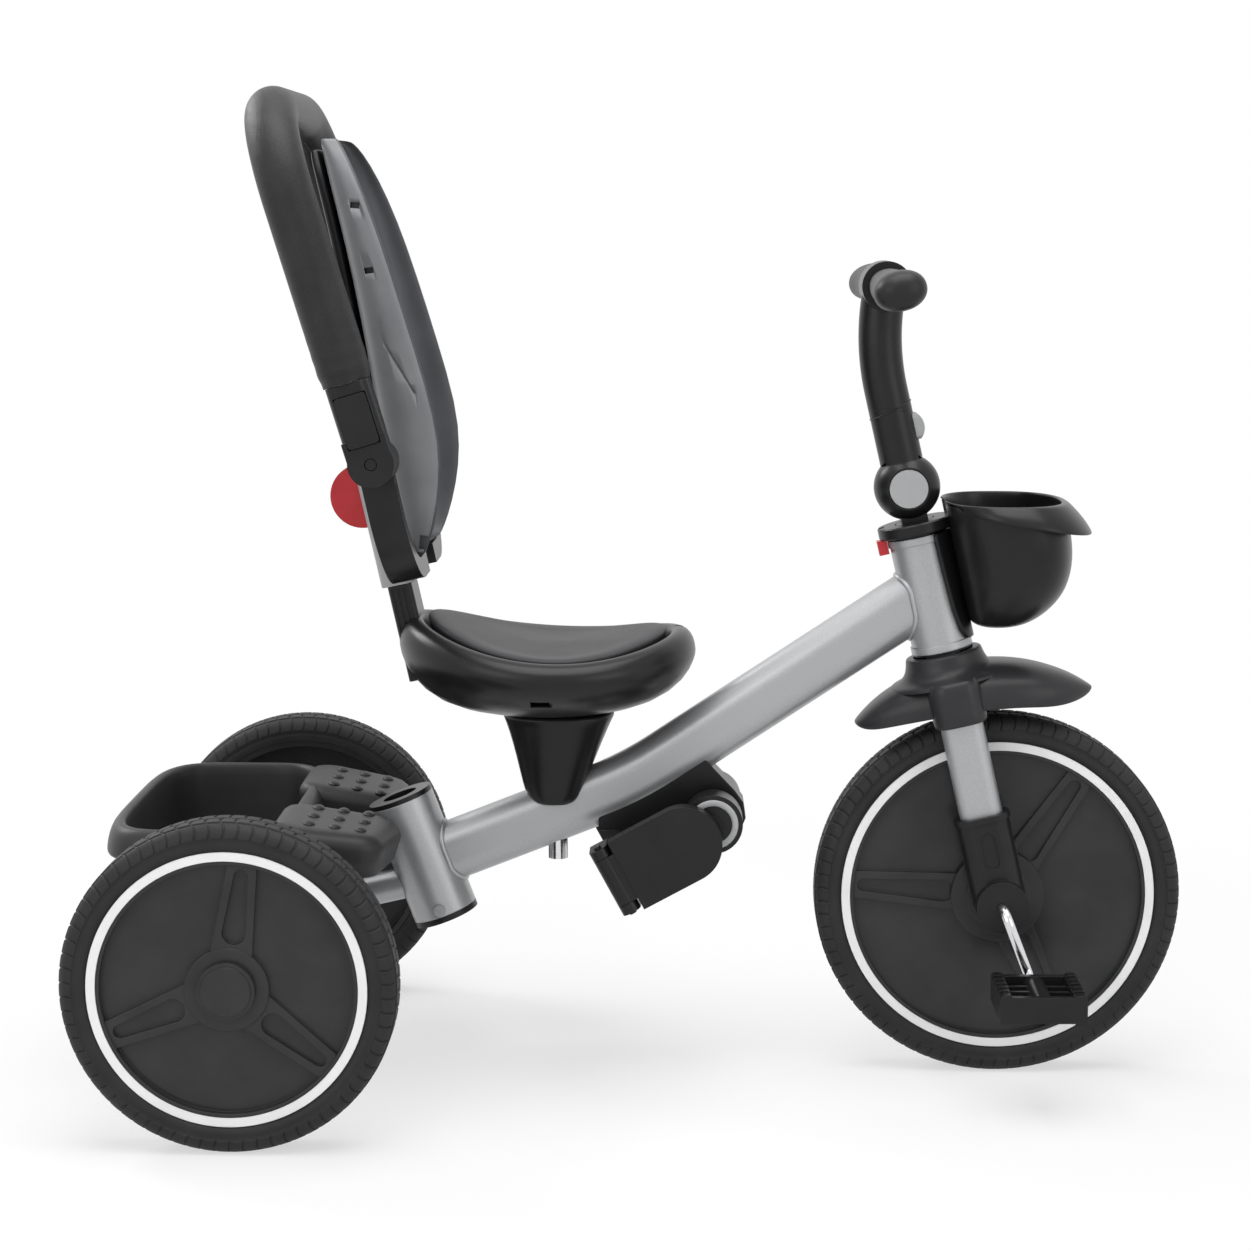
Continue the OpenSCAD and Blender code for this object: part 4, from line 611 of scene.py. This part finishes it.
def scattered(name, unit, spots, material, body, slot):
    """Copies of one unit shape, each at a spot in mm with its turn in degrees."""
    mesh = bpy.data.meshes.new("spots")
    mesh.from_pydata([metres(spot) for spot, turn in spots], [], [])
    turns = mesh.attributes.new("turn", "FLOAT_VECTOR", "POINT")
    for i, (place, turn) in enumerate(spots):
        turns.data[i].vector = [radians(t) for t in turn]
    holder = bpy.data.objects.new("spots", mesh)
    bpy.context.collection.objects.link(holder)
    points, faces = unit
    thing = built(name, [(x + origin_x, y, z) for x, y, z in points], faces, material)
    repeated(thing, spots_tree, Spots=holder, Finish=material)
    bpy.data.objects.remove(holder)
    for face in thing.data.polygons:
        face.use_smooth = True
    return fitted(thing, body, slot)


def dome(rx, ry, h):
    """Oval bump that rises from below its foot."""
    rings = [oval(0, h * sin(a) - 0.3, rx * cos(a), ry * cos(a), 1.0, count=20)
        for a in (0.0, 0.35, 0.7, 1.05, 1.35, 1.54)]
    return skin(rings)


bumps = []
for i in range(3):
    for j in range(3):
        x = 46 + 20 * i
        for side in (-1, 1):
            bumps.append(((x, side * (50 + 30 * j - 3 * i), deck_top(x)), (0, 9, 0)))
scattered("deck_bumps", dome(5.0, 7.6, 3.0), bumps, matt_pp, "frame", "black_plastic")

# Seat pedestal: flared column moulded round the seat post, standing on the main tube.
# Each ring: middle, height, half length, half width and squareness
pedestal_line = [(236, 224, 12, 26, 0.7), (235.5, 226, 18, 28, 0.7), (235, 231, 23, 29, 0.7),
    (235, 241, 26, 30, 0.7), (237, 263, 33, 34, 0.75), (238.5, 285, 40.5, 40, 0.8), (239, 298, 46, 45, 0.85),
    (239, 302.6, 48.5, 47, 0.85)]
pedestal = built("seat_pedestal_moulding", *skin([oval(*r) for r in pedestal_line]), black_pp)
fitted(settled(pedestal, 1), "frame", "black_plastic", "seat_pedestal")

# Seat: round moulded pan whose rolled rim rises ahead and behind and dips at the sides, with
# a small slot in its front edge and an oblong hole low on each side.
seat_x, seat_half, seat_tilt, seat_saddle = 230, 122, 6, 10


def pan_ring(z, inset, tilt, saddle):
    half = seat_half - inset
    return oval(seat_x, z, half, half, 1.0, seat_tilt * tilt, seat_saddle * saddle, count=72)


# Each ring: height, how far it lies inside the edge, shares of the tilt and of the saddle
pan_line = [(303, 80, 0, 0), (303, 62, 0, 0), (311.5, 30, 0, 0), (328.9, 8, 0.33, 0.2), (343, 1, 0.5, 0.5),
    (350, 0, 1, 0.7), (358, 2, 1, 0.9), (363, 6.4, 1, 1), (365.5, 12.5, 1, 1), (364.6, 18.5, 1, 1),
    (361, 21.8, 1, 0.9), (350, 23.2, 1, 0.4), (346, 24.5, 1, 0.1), (345, 40, 1, 0)]
pan = built("seat_pan", *skin([pan_ring(*r) for r in pan_line]), black_pp)
settled(pan, 1)


def block(centre, size, turn=(0, 0, 0)):
    """Closed box with its middle, size and turn."""
    spin = Euler([radians(t) for t in turn]).to_matrix()
    corners = []
    for sz in (-1, 1):
        for sx, sy in ((-1, -1), (1, -1), (1, 1), (-1, 1)):
            offset = spin @ Vector((sx * size[0] / 2, sy * size[1] / 2, sz * size[2] / 2))
            corners.append(tuple(Vector(centre) + offset))
    return corners, [(0, 3, 2, 1), (4, 5, 6, 7), (0, 1, 5, 4), (1, 2, 6, 5), (2, 3, 7, 6), (3, 0, 4, 7)]


front_slot = block((338, 14, 370), (6, 6, 14))
side_holes = [block((229, side * 104, 322), (15, 26, 5)) for side in (-1, 1)]
cut(pan, front_slot, *side_holes)
fitted(pan, "frame", "black_plastic", "seat_base")

# Seat inlay: soft pad let into the pan, crowned round its edge and hollow in the middle. It
# has a fine leather print.
inlay = moulded("printed_inlay", "#2e2e30", "#3a3a3c", 1.0, 0.5, 0.34)
inlay_half = 98


def inlay_ring(z, share, saddle):
    half = inlay_half * share
    return oval(seat_x, z, half, half, 1.0, seat_tilt * share, seat_saddle * saddle, count=72)


inlay_line = [(346, 0.92, 0.1), (356, 0.97, 0.7), (363, 0.998, 1), (365.6, 0.99, 1), (366.4, 0.96, 1),
    (365.8, 0.87, 0.9), (362.8, 0.76, 0.75), (360.6, 0.62, 0.5), (358.6, 0.46, 0.28), (357.3, 0.28, 0.1),
    (357, 0.1, 0)]
pad = built("seat_inlay", *skin([inlay_ring(*r) for r in inlay_line]), inlay)
settled(pad, 1)
fitted(pad, "frame", "seat_inlay", "seat_pad")

# Backrest shell: satin grey moulding with deep wings. Each wing has three small slots, two
# slanting creases and a pocket at its foot.
shell_pp = moulded("satin_grey_polypropylene", "#7a7b7e", "#868789", 1.0, 0.33, 0.1)
back_x, back_z, wing_half = 103, 515, 96
# Each station: height above the bar pivot, back and front edges from it, share of the width
back_stations = [(-79, 16.3, 31, 0.72), (-75, 15.2, 33, 0.76), (-63, 12.7, 38, 0.85),
    (-35, 6.4, 45, 0.93), (-5, -0.2, 48, 0.965), (30, -6, 45, 0.99), (85, -14, 29, 1.0),
    (140, -24, 12, 0.99), (185, -34, -3, 0.945), (220, -43, -18, 0.85), (240, -48, -29, 0.7),
    (247, -50, -35, 0.57), (248.5, -50.4, -37, 0.5)]


def wing_line(station, inset, advance):
    height, back, front, share = station
    front += advance
    back += inset
    line = []
    for i in range(49):
        a = pi * i / 48
        x = back_x + front - (front - back) * power(max(sin(a), 0.0), 0.5)
        line.append((x, (wing_half * share - inset) * power(cos(a), 0.5), back_z + height))
    return line


def dish(inset, wall, advance):
    """Thin dished wall through all stations."""
    rings = []
    for station in back_stations:
        inside = wing_line(station, inset + wall, advance)
        rings.append(wing_line(station, inset, advance) + inside[::-1])
    return skin(rings)


back_shell = built("backrest_shell_moulding", *dish(0, 3, 0), shell_pp)
settled(back_shell, 1)
slots = []
for side in (-1, 1):
    for x, z, turn in ((72, 749, 42), (86, 711, 5), (97, 661, -7)):
        slots.append(block((x, side * 92, z), (7.5, 22, 4.6), (0, turn, 0)))
    for x0, z0, x1, z1 in ((99, 620, 132, 566), (115, 554, 142, 509)):
        turn = atan2(z0 - z1, x1 - x0) * 180 / pi
        size = sqrt((x1 - x0) ** 2 + (z1 - z0) ** 2)
        slots.append(block(((x0 + x1) / 2, side * 96, (z0 + z1) / 2), (size, 5.2, 1.8), (0, turn, 0)))
    slots.append(block((136, side * 78, 441), (9, 14, 24), (0, 8, 0)))
cut(back_shell, *slots)
fitted(back_shell, "backrest", "shell_plastic", "backrest_shell")

# Backrest lining inside the shell, in a darker grey that is painted shade for the inside of the wings, and
# the black cover on its back.
# The lining's grey is darker than the shell's: painted shade for the shade that falls inside the wings.
lining_shade_pp = moulded("painted_shade_lining_polypropylene", "#505154", "#5a5b5e", 1.0, 0.4, 0.12)
lining = built("backrest_lining", *dish(3.3, 2.5, 1.5), lining_shade_pp)
fitted(settled(lining, 1), "backrest", "shell_plastic", "backrest_panel")
cover_half_t, cover_off, cover_share = 5, 5.3, 0.66
cover_line = []
# Each ring: station of the shell, how far it is drawn in, and its lift
for index, edge, lift in ((5, 3.2, 0), (5, 1.4, 1), (5, 0.2, 4), (6, 0, 0), (7, 0, 0), (8, 0, 0), (9, 0, 0),
        (10, 0.4, -4), (10, 1.8, -1), (10, 3.4, 0)):
    height, back, front, share = back_stations[index]
    half_w = cover_share * wing_half * share - edge
    cover_z = back_z + height + lift
    cover_line.append(oval(back_x + back - cover_off, cover_z, cover_half_t - edge, half_w, 0.35))
cover = built("backrest_cover_moulding", *skin(cover_line), black_pp)
fitted(settled(cover, 1), "backrest", "black_plastic", "backrest_cover")

# Safety bar sleeve: foam-padded leatherette sewn round the bent tube. It is blown out against
# its sewn ends as cloth, then drawn in by a hem at each socket and a seam along its inside.
leatherette, tree, shader = surface("black_leatherette", IOR=1.5, Specular_IOR_Level=0.28)
place = add(tree, "ShaderNodeTexCoord").outputs["Object"]
# Pebbles of the grain are about 1.3 mm across, pores a third of that.
pebble_mm, pore_mm, fold_mm = 1.3, 0.45, 28
pebble = add(tree, "ShaderNodeTexVoronoi", {"Vector": place, "Scale": 1000 / pebble_mm},
    feature="DISTANCE_TO_EDGE")
pore = noise(tree, place, pore_mm, 2.0)
fold = noise(tree, place, fold_mm, 3.0)
toned(tree, shader, fold, "#1b1b1c", "#252526", (0.3, 0.7))
glossed(tree, shader, pore, 0.33, 0.47)
bump = add(tree, "ShaderNodeBump", {"Height": pore, "Strength": 0.12, "Distance": 0.0003})
bump = add(tree, "ShaderNodeBump", {"Height": pebble.outputs["Distance"], "Normal": bump.outputs["Normal"],
    "Strength": 0.7, "Distance": 0.0005})
tree.links.new(bump.outputs["Normal"], shader.inputs["Normal"])

bar_half, bar_foot, bar_top, corner, sleeve_r, lean = 135, 64.3, 280, 72, 21.5, radians(17)


def on_bar(along):
    """Middle of the tube and its direction, in the bar's own plane, at a length from one foot."""
    straight = bar_top - corner - bar_foot
    bend = corner * pi / 2
    span = 2 * (bar_half - corner)
    if along <= straight:
        return (-bar_half, bar_foot + along), (0.0, 1.0)
    if along <= straight + bend:
        a = (along - straight) / corner
        return (-bar_half + corner - corner * cos(a), bar_top - corner + corner * sin(a)), (sin(a), cos(a))
    if along <= straight + bend + span:
        return (-bar_half + corner + along - straight - bend, bar_top), (1.0, 0.0)
    spot, way = on_bar(2 * (straight + bend) + span - along)
    return (-spot[0], spot[1]), (way[0], -way[1])


sleeve_len = 2 * (bar_top - corner - bar_foot) + corner * pi + 2 * (bar_half - corner)


def bar_point(along, a, r):
    """Point on the sleeve: a turns round the tube from its inner side."""
    (y, z), (wy, wz) = on_bar(along)
    inner = (wz, -wy)
    out_y = y + r * cos(a) * inner[0]
    out_z = z + r * cos(a) * inner[1]
    out_x = r * sin(a)
    x = back_x - out_z * sin(lean) + out_x * cos(lean)
    return (x, out_y, back_z + out_z * cos(lean) + out_x * sin(lean))


rows, round_steps = 132, 28
rings = []
for k in range(rows + 1):
    along = sleeve_len * k / rows
    rings.append([bar_point(along, 2 * pi * i / round_steps, sleeve_r - 0.9) for i in range(round_steps)])
sleeve = built("bar_sleeve", *skin(rings, False, False), leatherette)
rest = [v.co.copy() for v in sleeve.data.vertices]
held = sleeve.vertex_groups.new(name="sewn")
held.add([i for i in range(len(rest)) if i // round_steps in (0, 1, rows - 1, rows)
    or i % round_steps == 0], 1.0, "REPLACE")
cloth = sleeve.modifiers.new("blown", "CLOTH")
cloth.settings.quality = 5
cloth.settings.mass = 0.4
cloth.settings.tension_stiffness = 12
cloth.settings.compression_stiffness = 12
cloth.settings.bending_stiffness = 2.0
cloth.settings.use_pressure = True
cloth.settings.uniform_pressure_force = 4.0
cloth.settings.effector_weights.gravity = 0.0
cloth.settings.vertex_group_mass = "sewn"
cloth.collision_settings.use_collision = False
for step in range(1, 21):
    bpy.context.scene.frame_set(step)
settled(sleeve)
bpy.context.scene.frame_set(1)
limit = 0.003
for v, old in zip(sleeve.data.vertices, rest):
    move = v.co - old
    if move.length > limit:
        v.co = old + move * (limit / move.length)
# The hems draw in near each socket, and loose folds lie across the first stretch of the sleeve.
for v in sleeve.data.vertices:
    k = v.index // round_steps
    i = v.index % round_steps
    from_end = min(k, rows - k) * sleeve_len / rows
    (y, z), way = on_bar(sleeve_len * k / rows)
    middle = Vector(metres((back_x - z * sin(lean), y, back_z + z * cos(lean))))
    arm = v.co - middle
    hem = 0.8 * max(0.0, 1 - abs(from_end - 5.0) / 4.0)
    wave = sin(from_end * 2 * pi / 13 + 0.9 * sin(2 * pi * i / round_steps))
    crease = 0.55 * wave * max(0.0, 1 - from_end / 60)
    seam = 1.1 * max(0.0, 1 - min(i, round_steps - i) / 1.2)
    end = 1.6 * max(0.0, 1 - from_end / 2.5)
    v.co = middle + arm * (1 - (hem + crease + seam + end) / (1000 * arm.length))
settled(sleeve, 1)
fitted(sleeve, "safety_bar", "leatherette", "bar_pad")

# Seam stitches down the inside of the sleeve: waxed thread, one stitch each 4.5 mm.
thread = moulded("waxed_black_thread", "#2e2e2f", "#39393a", 0.5, 0.5, 0.2, 0.2)
stitches = []
count = int(sleeve_len / 4.5)
for k in range(3, count - 2):
    along = sleeve_len * (k + 0.5) / count
    (y, z), (wy, wz) = on_bar(along)
    way = Vector((-wz * sin(lean), wy, wz * cos(lean)))
    turn = way.to_track_quat("X", "Z").to_euler()
    stitches.append((bar_point(along, 0.0, sleeve_r - 1.4), [t * 180 / pi for t in turn]))
scattered("sleeve_stitches", dome(1.6, 0.45, 0.5), stitches, thread, "safety_bar", "leatherette")

# Cross-head screws in the arms' discs and the footrest pivots: plated pan heads, one unit shape
# set at each place and facing out.
def screw(r):
    """Pan head that faces along minus Y, with a cross recess."""
    arm, slot_r, deep = 0.17 * r, 0.62 * r, 0.35 * r
    star = []
    for quarter in range(4):
        a = quarter * pi / 2
        for u, v in ((slot_r, -arm), (slot_r, arm), (arm, arm)):
            star.append((u * cos(a) - v * sin(a), u * sin(a) + v * cos(a)))
    rim = []
    for x, z in star:
        size = sqrt(x * x + z * z)
        rim.append((x / size, z / size))
    rings = [[(x * 0.95, -0.28 * r + deep, z * 0.95) for x, z in star]]
    rings.append([(x, -0.28 * r, z) for x, z in star])
    for share, out in ((0.72, 0.27), (0.92, 0.18), (1.0, 0.02), (1.0, -0.2)):
        rings.append([(share * r * x, -out * r, share * r * z) for x, z in rim])
    return skin(rings, True, False)


zinc, tree, shader = surface("zinc_plated_steel", Metallic=1.0)
place = add(tree, "ShaderNodeTexCoord").outputs["Object"]
cloud_mm = 2.5
cloud = noise(tree, place, cloud_mm, 3.0)
toned(tree, shader, cloud, "#8d8e91", "#b4b5b8")
glossed(tree, shader, cloud, 0.25, 0.42)
finish_nodes(zinc, "frame_screws")
out = {-1: (0, 0, 0), 1: (0, 0, 180)}
bar_spots = [((back_x, side * 147.4, back_z), out[side]) for side in (-1, 1)]
scattered("bar_screws", screw(3.0), bar_spots, zinc, "safety_bar", "chrome")
foot_x, foot_z = 366, 216
foot_spots = [((foot_x, side * 57.4, foot_z), out[side]) for side in (-1, 1)]
scattered("foot_screws", screw(3.6), foot_spots, zinc, "frame", "chrome")

# Footrest bracket: black moulding screwed under the main tube, a web with a round eye for the
# pivot pin.
web = [(-94, -14), (-30, -14), (-22, -22), (-8, -27), (8, -26), (21, -17), (27, -3), (25, 10), (18, 20),
    (-16, 56), (-94, 18)]
web_middle = -30
web_rings = []
for y, shrink in ((-15.9, 0.985), (-15.2, 1.0), (15.2, 1.0), (15.9, 0.985)):
    middle = foot_x + web_middle
    web_rings.append([(middle + (x - web_middle) * shrink, y, foot_z + z * shrink) for x, z in web])


def round_foot(r, y, count):
    """Ring round the footrest pivot."""
    turns = [2 * pi * t / count for t in range(count)]
    return [(foot_x + r * cos(a), y, foot_z + r * sin(a)) for a in turns]


def pin(r, half):
    """Round bar across the trike at the footrest pivot."""
    return skin([round_foot(r, y, 48) for y in (-half, half)])


bracket = built("foot_bracket_moulding", *merged(skin(web_rings), pin(7, 57), pin(15, 29.6)), black_pp)
for face in bracket.data.polygons:
    face.use_smooth = False
fitted(bracket, "frame", "black_plastic", "foot_bracket")

# Pale rings round the footrest pivots: a thin moulded trim pressed on each disc.
trim_line = [(15.2, 55.6), (15.4, 56.5), (16.4, 57.1), (19.2, 57.1), (20.2, 56.5), (20.4, 55.6)]
trims = []
for side in (-1, 1):
    trims.append(skin([round_foot(r, side * y, 64) for r, y in trim_line], False, False))
fitted(built("foot_pivot_trims", *merged(*trims), grey_abs), "footrest", "grey_plastic")

# Studio: a white floor that keeps the shadow and fades into a white surround, a large soft box
# overhead, a broad fill from the camera's left, a weaker one from the right and an edge light behind.
reach = 14.0
floor_mesh = bpy.data.meshes.new("floor")
floor_mesh.from_pydata([(-reach, -reach, 0), (reach, -reach, 0), (reach, reach, 0), (-reach, reach, 0)], [],
    [(0, 1, 2, 3)])
floor = bpy.data.objects.new("floor", floor_mesh)
bpy.context.collection.objects.link(floor)
floor_paint, tree, shader = surface("white_paper_floor", Roughness=0.9)
shader.inputs["Base Color"].default_value = linear("#f4f4f4")
shader.inputs["Specular IOR Level"].default_value = 0.1
place = add(tree, "ShaderNodeTexCoord").outputs["Object"]
away = add(tree, "ShaderNodeVectorMath", {0: place}, operation="LENGTH")
fade = add(tree, "ShaderNodeMapRange", {"Value": away.outputs["Value"], "From Min": 0.5, "From Max": 1.2,
    "To Min": 0.6}, interpolation_type="SMOOTHSTEP")


def seen_rays(tree):
    """One for rays that show the background: from the camera, and by gloss or glass."""
    path = add(tree, "ShaderNodeLightPath").outputs
    seen = path["Is Camera Ray"]
    for kind in ("Is Glossy Ray", "Is Transmission Ray"):
        seen = add(tree, "ShaderNodeMath", {0: seen, 1: path[kind]}, operation="MAXIMUM").outputs[0]
    return seen


share = add(tree, "ShaderNodeMath", {0: seen_rays(tree), 1: fade.outputs["Result"]}, operation="MULTIPLY")
white = add(tree, "ShaderNodeEmission", {"Color": (1, 1, 1, 1), "Strength": 1.0})
both = add(tree, "ShaderNodeMixShader", {0: share.outputs[0], 1: shader.outputs[0], 2: white.outputs[0]})
tree.links.new(both.outputs[0], tree.nodes["Material Output"].inputs["Surface"])
floor_mesh.materials.append(floor_paint)

world = bpy.context.scene.world or bpy.data.worlds.new("surround")
bpy.context.scene.world = world
world.use_nodes = True
tree = world.node_tree
tree.nodes.clear()
soft = add(tree, "ShaderNodeBackground", {"Color": (1, 1, 1, 1), "Strength": 0.27})
white = add(tree, "ShaderNodeBackground", {"Color": (1, 1, 1, 1), "Strength": 1.0})
both = add(tree, "ShaderNodeMixShader", {0: seen_rays(tree), 1: soft.outputs[0], 2: white.outputs[0]})
add(tree, "ShaderNodeOutputWorld", {"Surface": both.outputs[0]})

for name, spot, aim, wide, watts in [
    ("overhead_box", (0.1, -0.4, 2.6), (0.0, 0.0, 0.3), 2.2, 60.0),
    ("left_fill", (-1.8, -2.4, 1.4), (0.0, 0.0, 0.4), 1.8, 18.0),
    ("back_edge", (-2.0, 1.2, 1.9), (-0.2, 0.0, 0.6), 1.0, 26.0),
    ("right_fill", (2.2, -2.0, 1.2), (0.1, 0.0, 0.4), 1.6, 12.0),
]:
    lamp = bpy.data.lights.new(name, "AREA")
    lamp.shape = "SQUARE"
    lamp.size = wide
    lamp.energy = watts
    holder = bpy.data.objects.new(name, lamp)
    holder.location = spot
    holder.rotation_euler = (Vector(aim) - Vector(spot)).to_track_quat("-Z", "Y").to_euler()
    bpy.context.collection.objects.link(holder)

# Camera at the photograph's place: level with the seat's upper edge, seen from the right.
lens = bpy.data.cameras.new("camera")
lens.sensor_width = 36.0
lens.lens = 81.6
camera = bpy.data.objects.new("camera", lens)
camera.location = (0.0347, -2.2998, 0.7001)
camera.rotation_euler = Vector((-0.0225, 0.9897, -0.1417)).to_track_quat("-Z", "Y").to_euler()
bpy.context.collection.objects.link(camera)
bpy.context.scene.camera = camera
bpy.context.scene.view_settings.view_transform = "Standard"
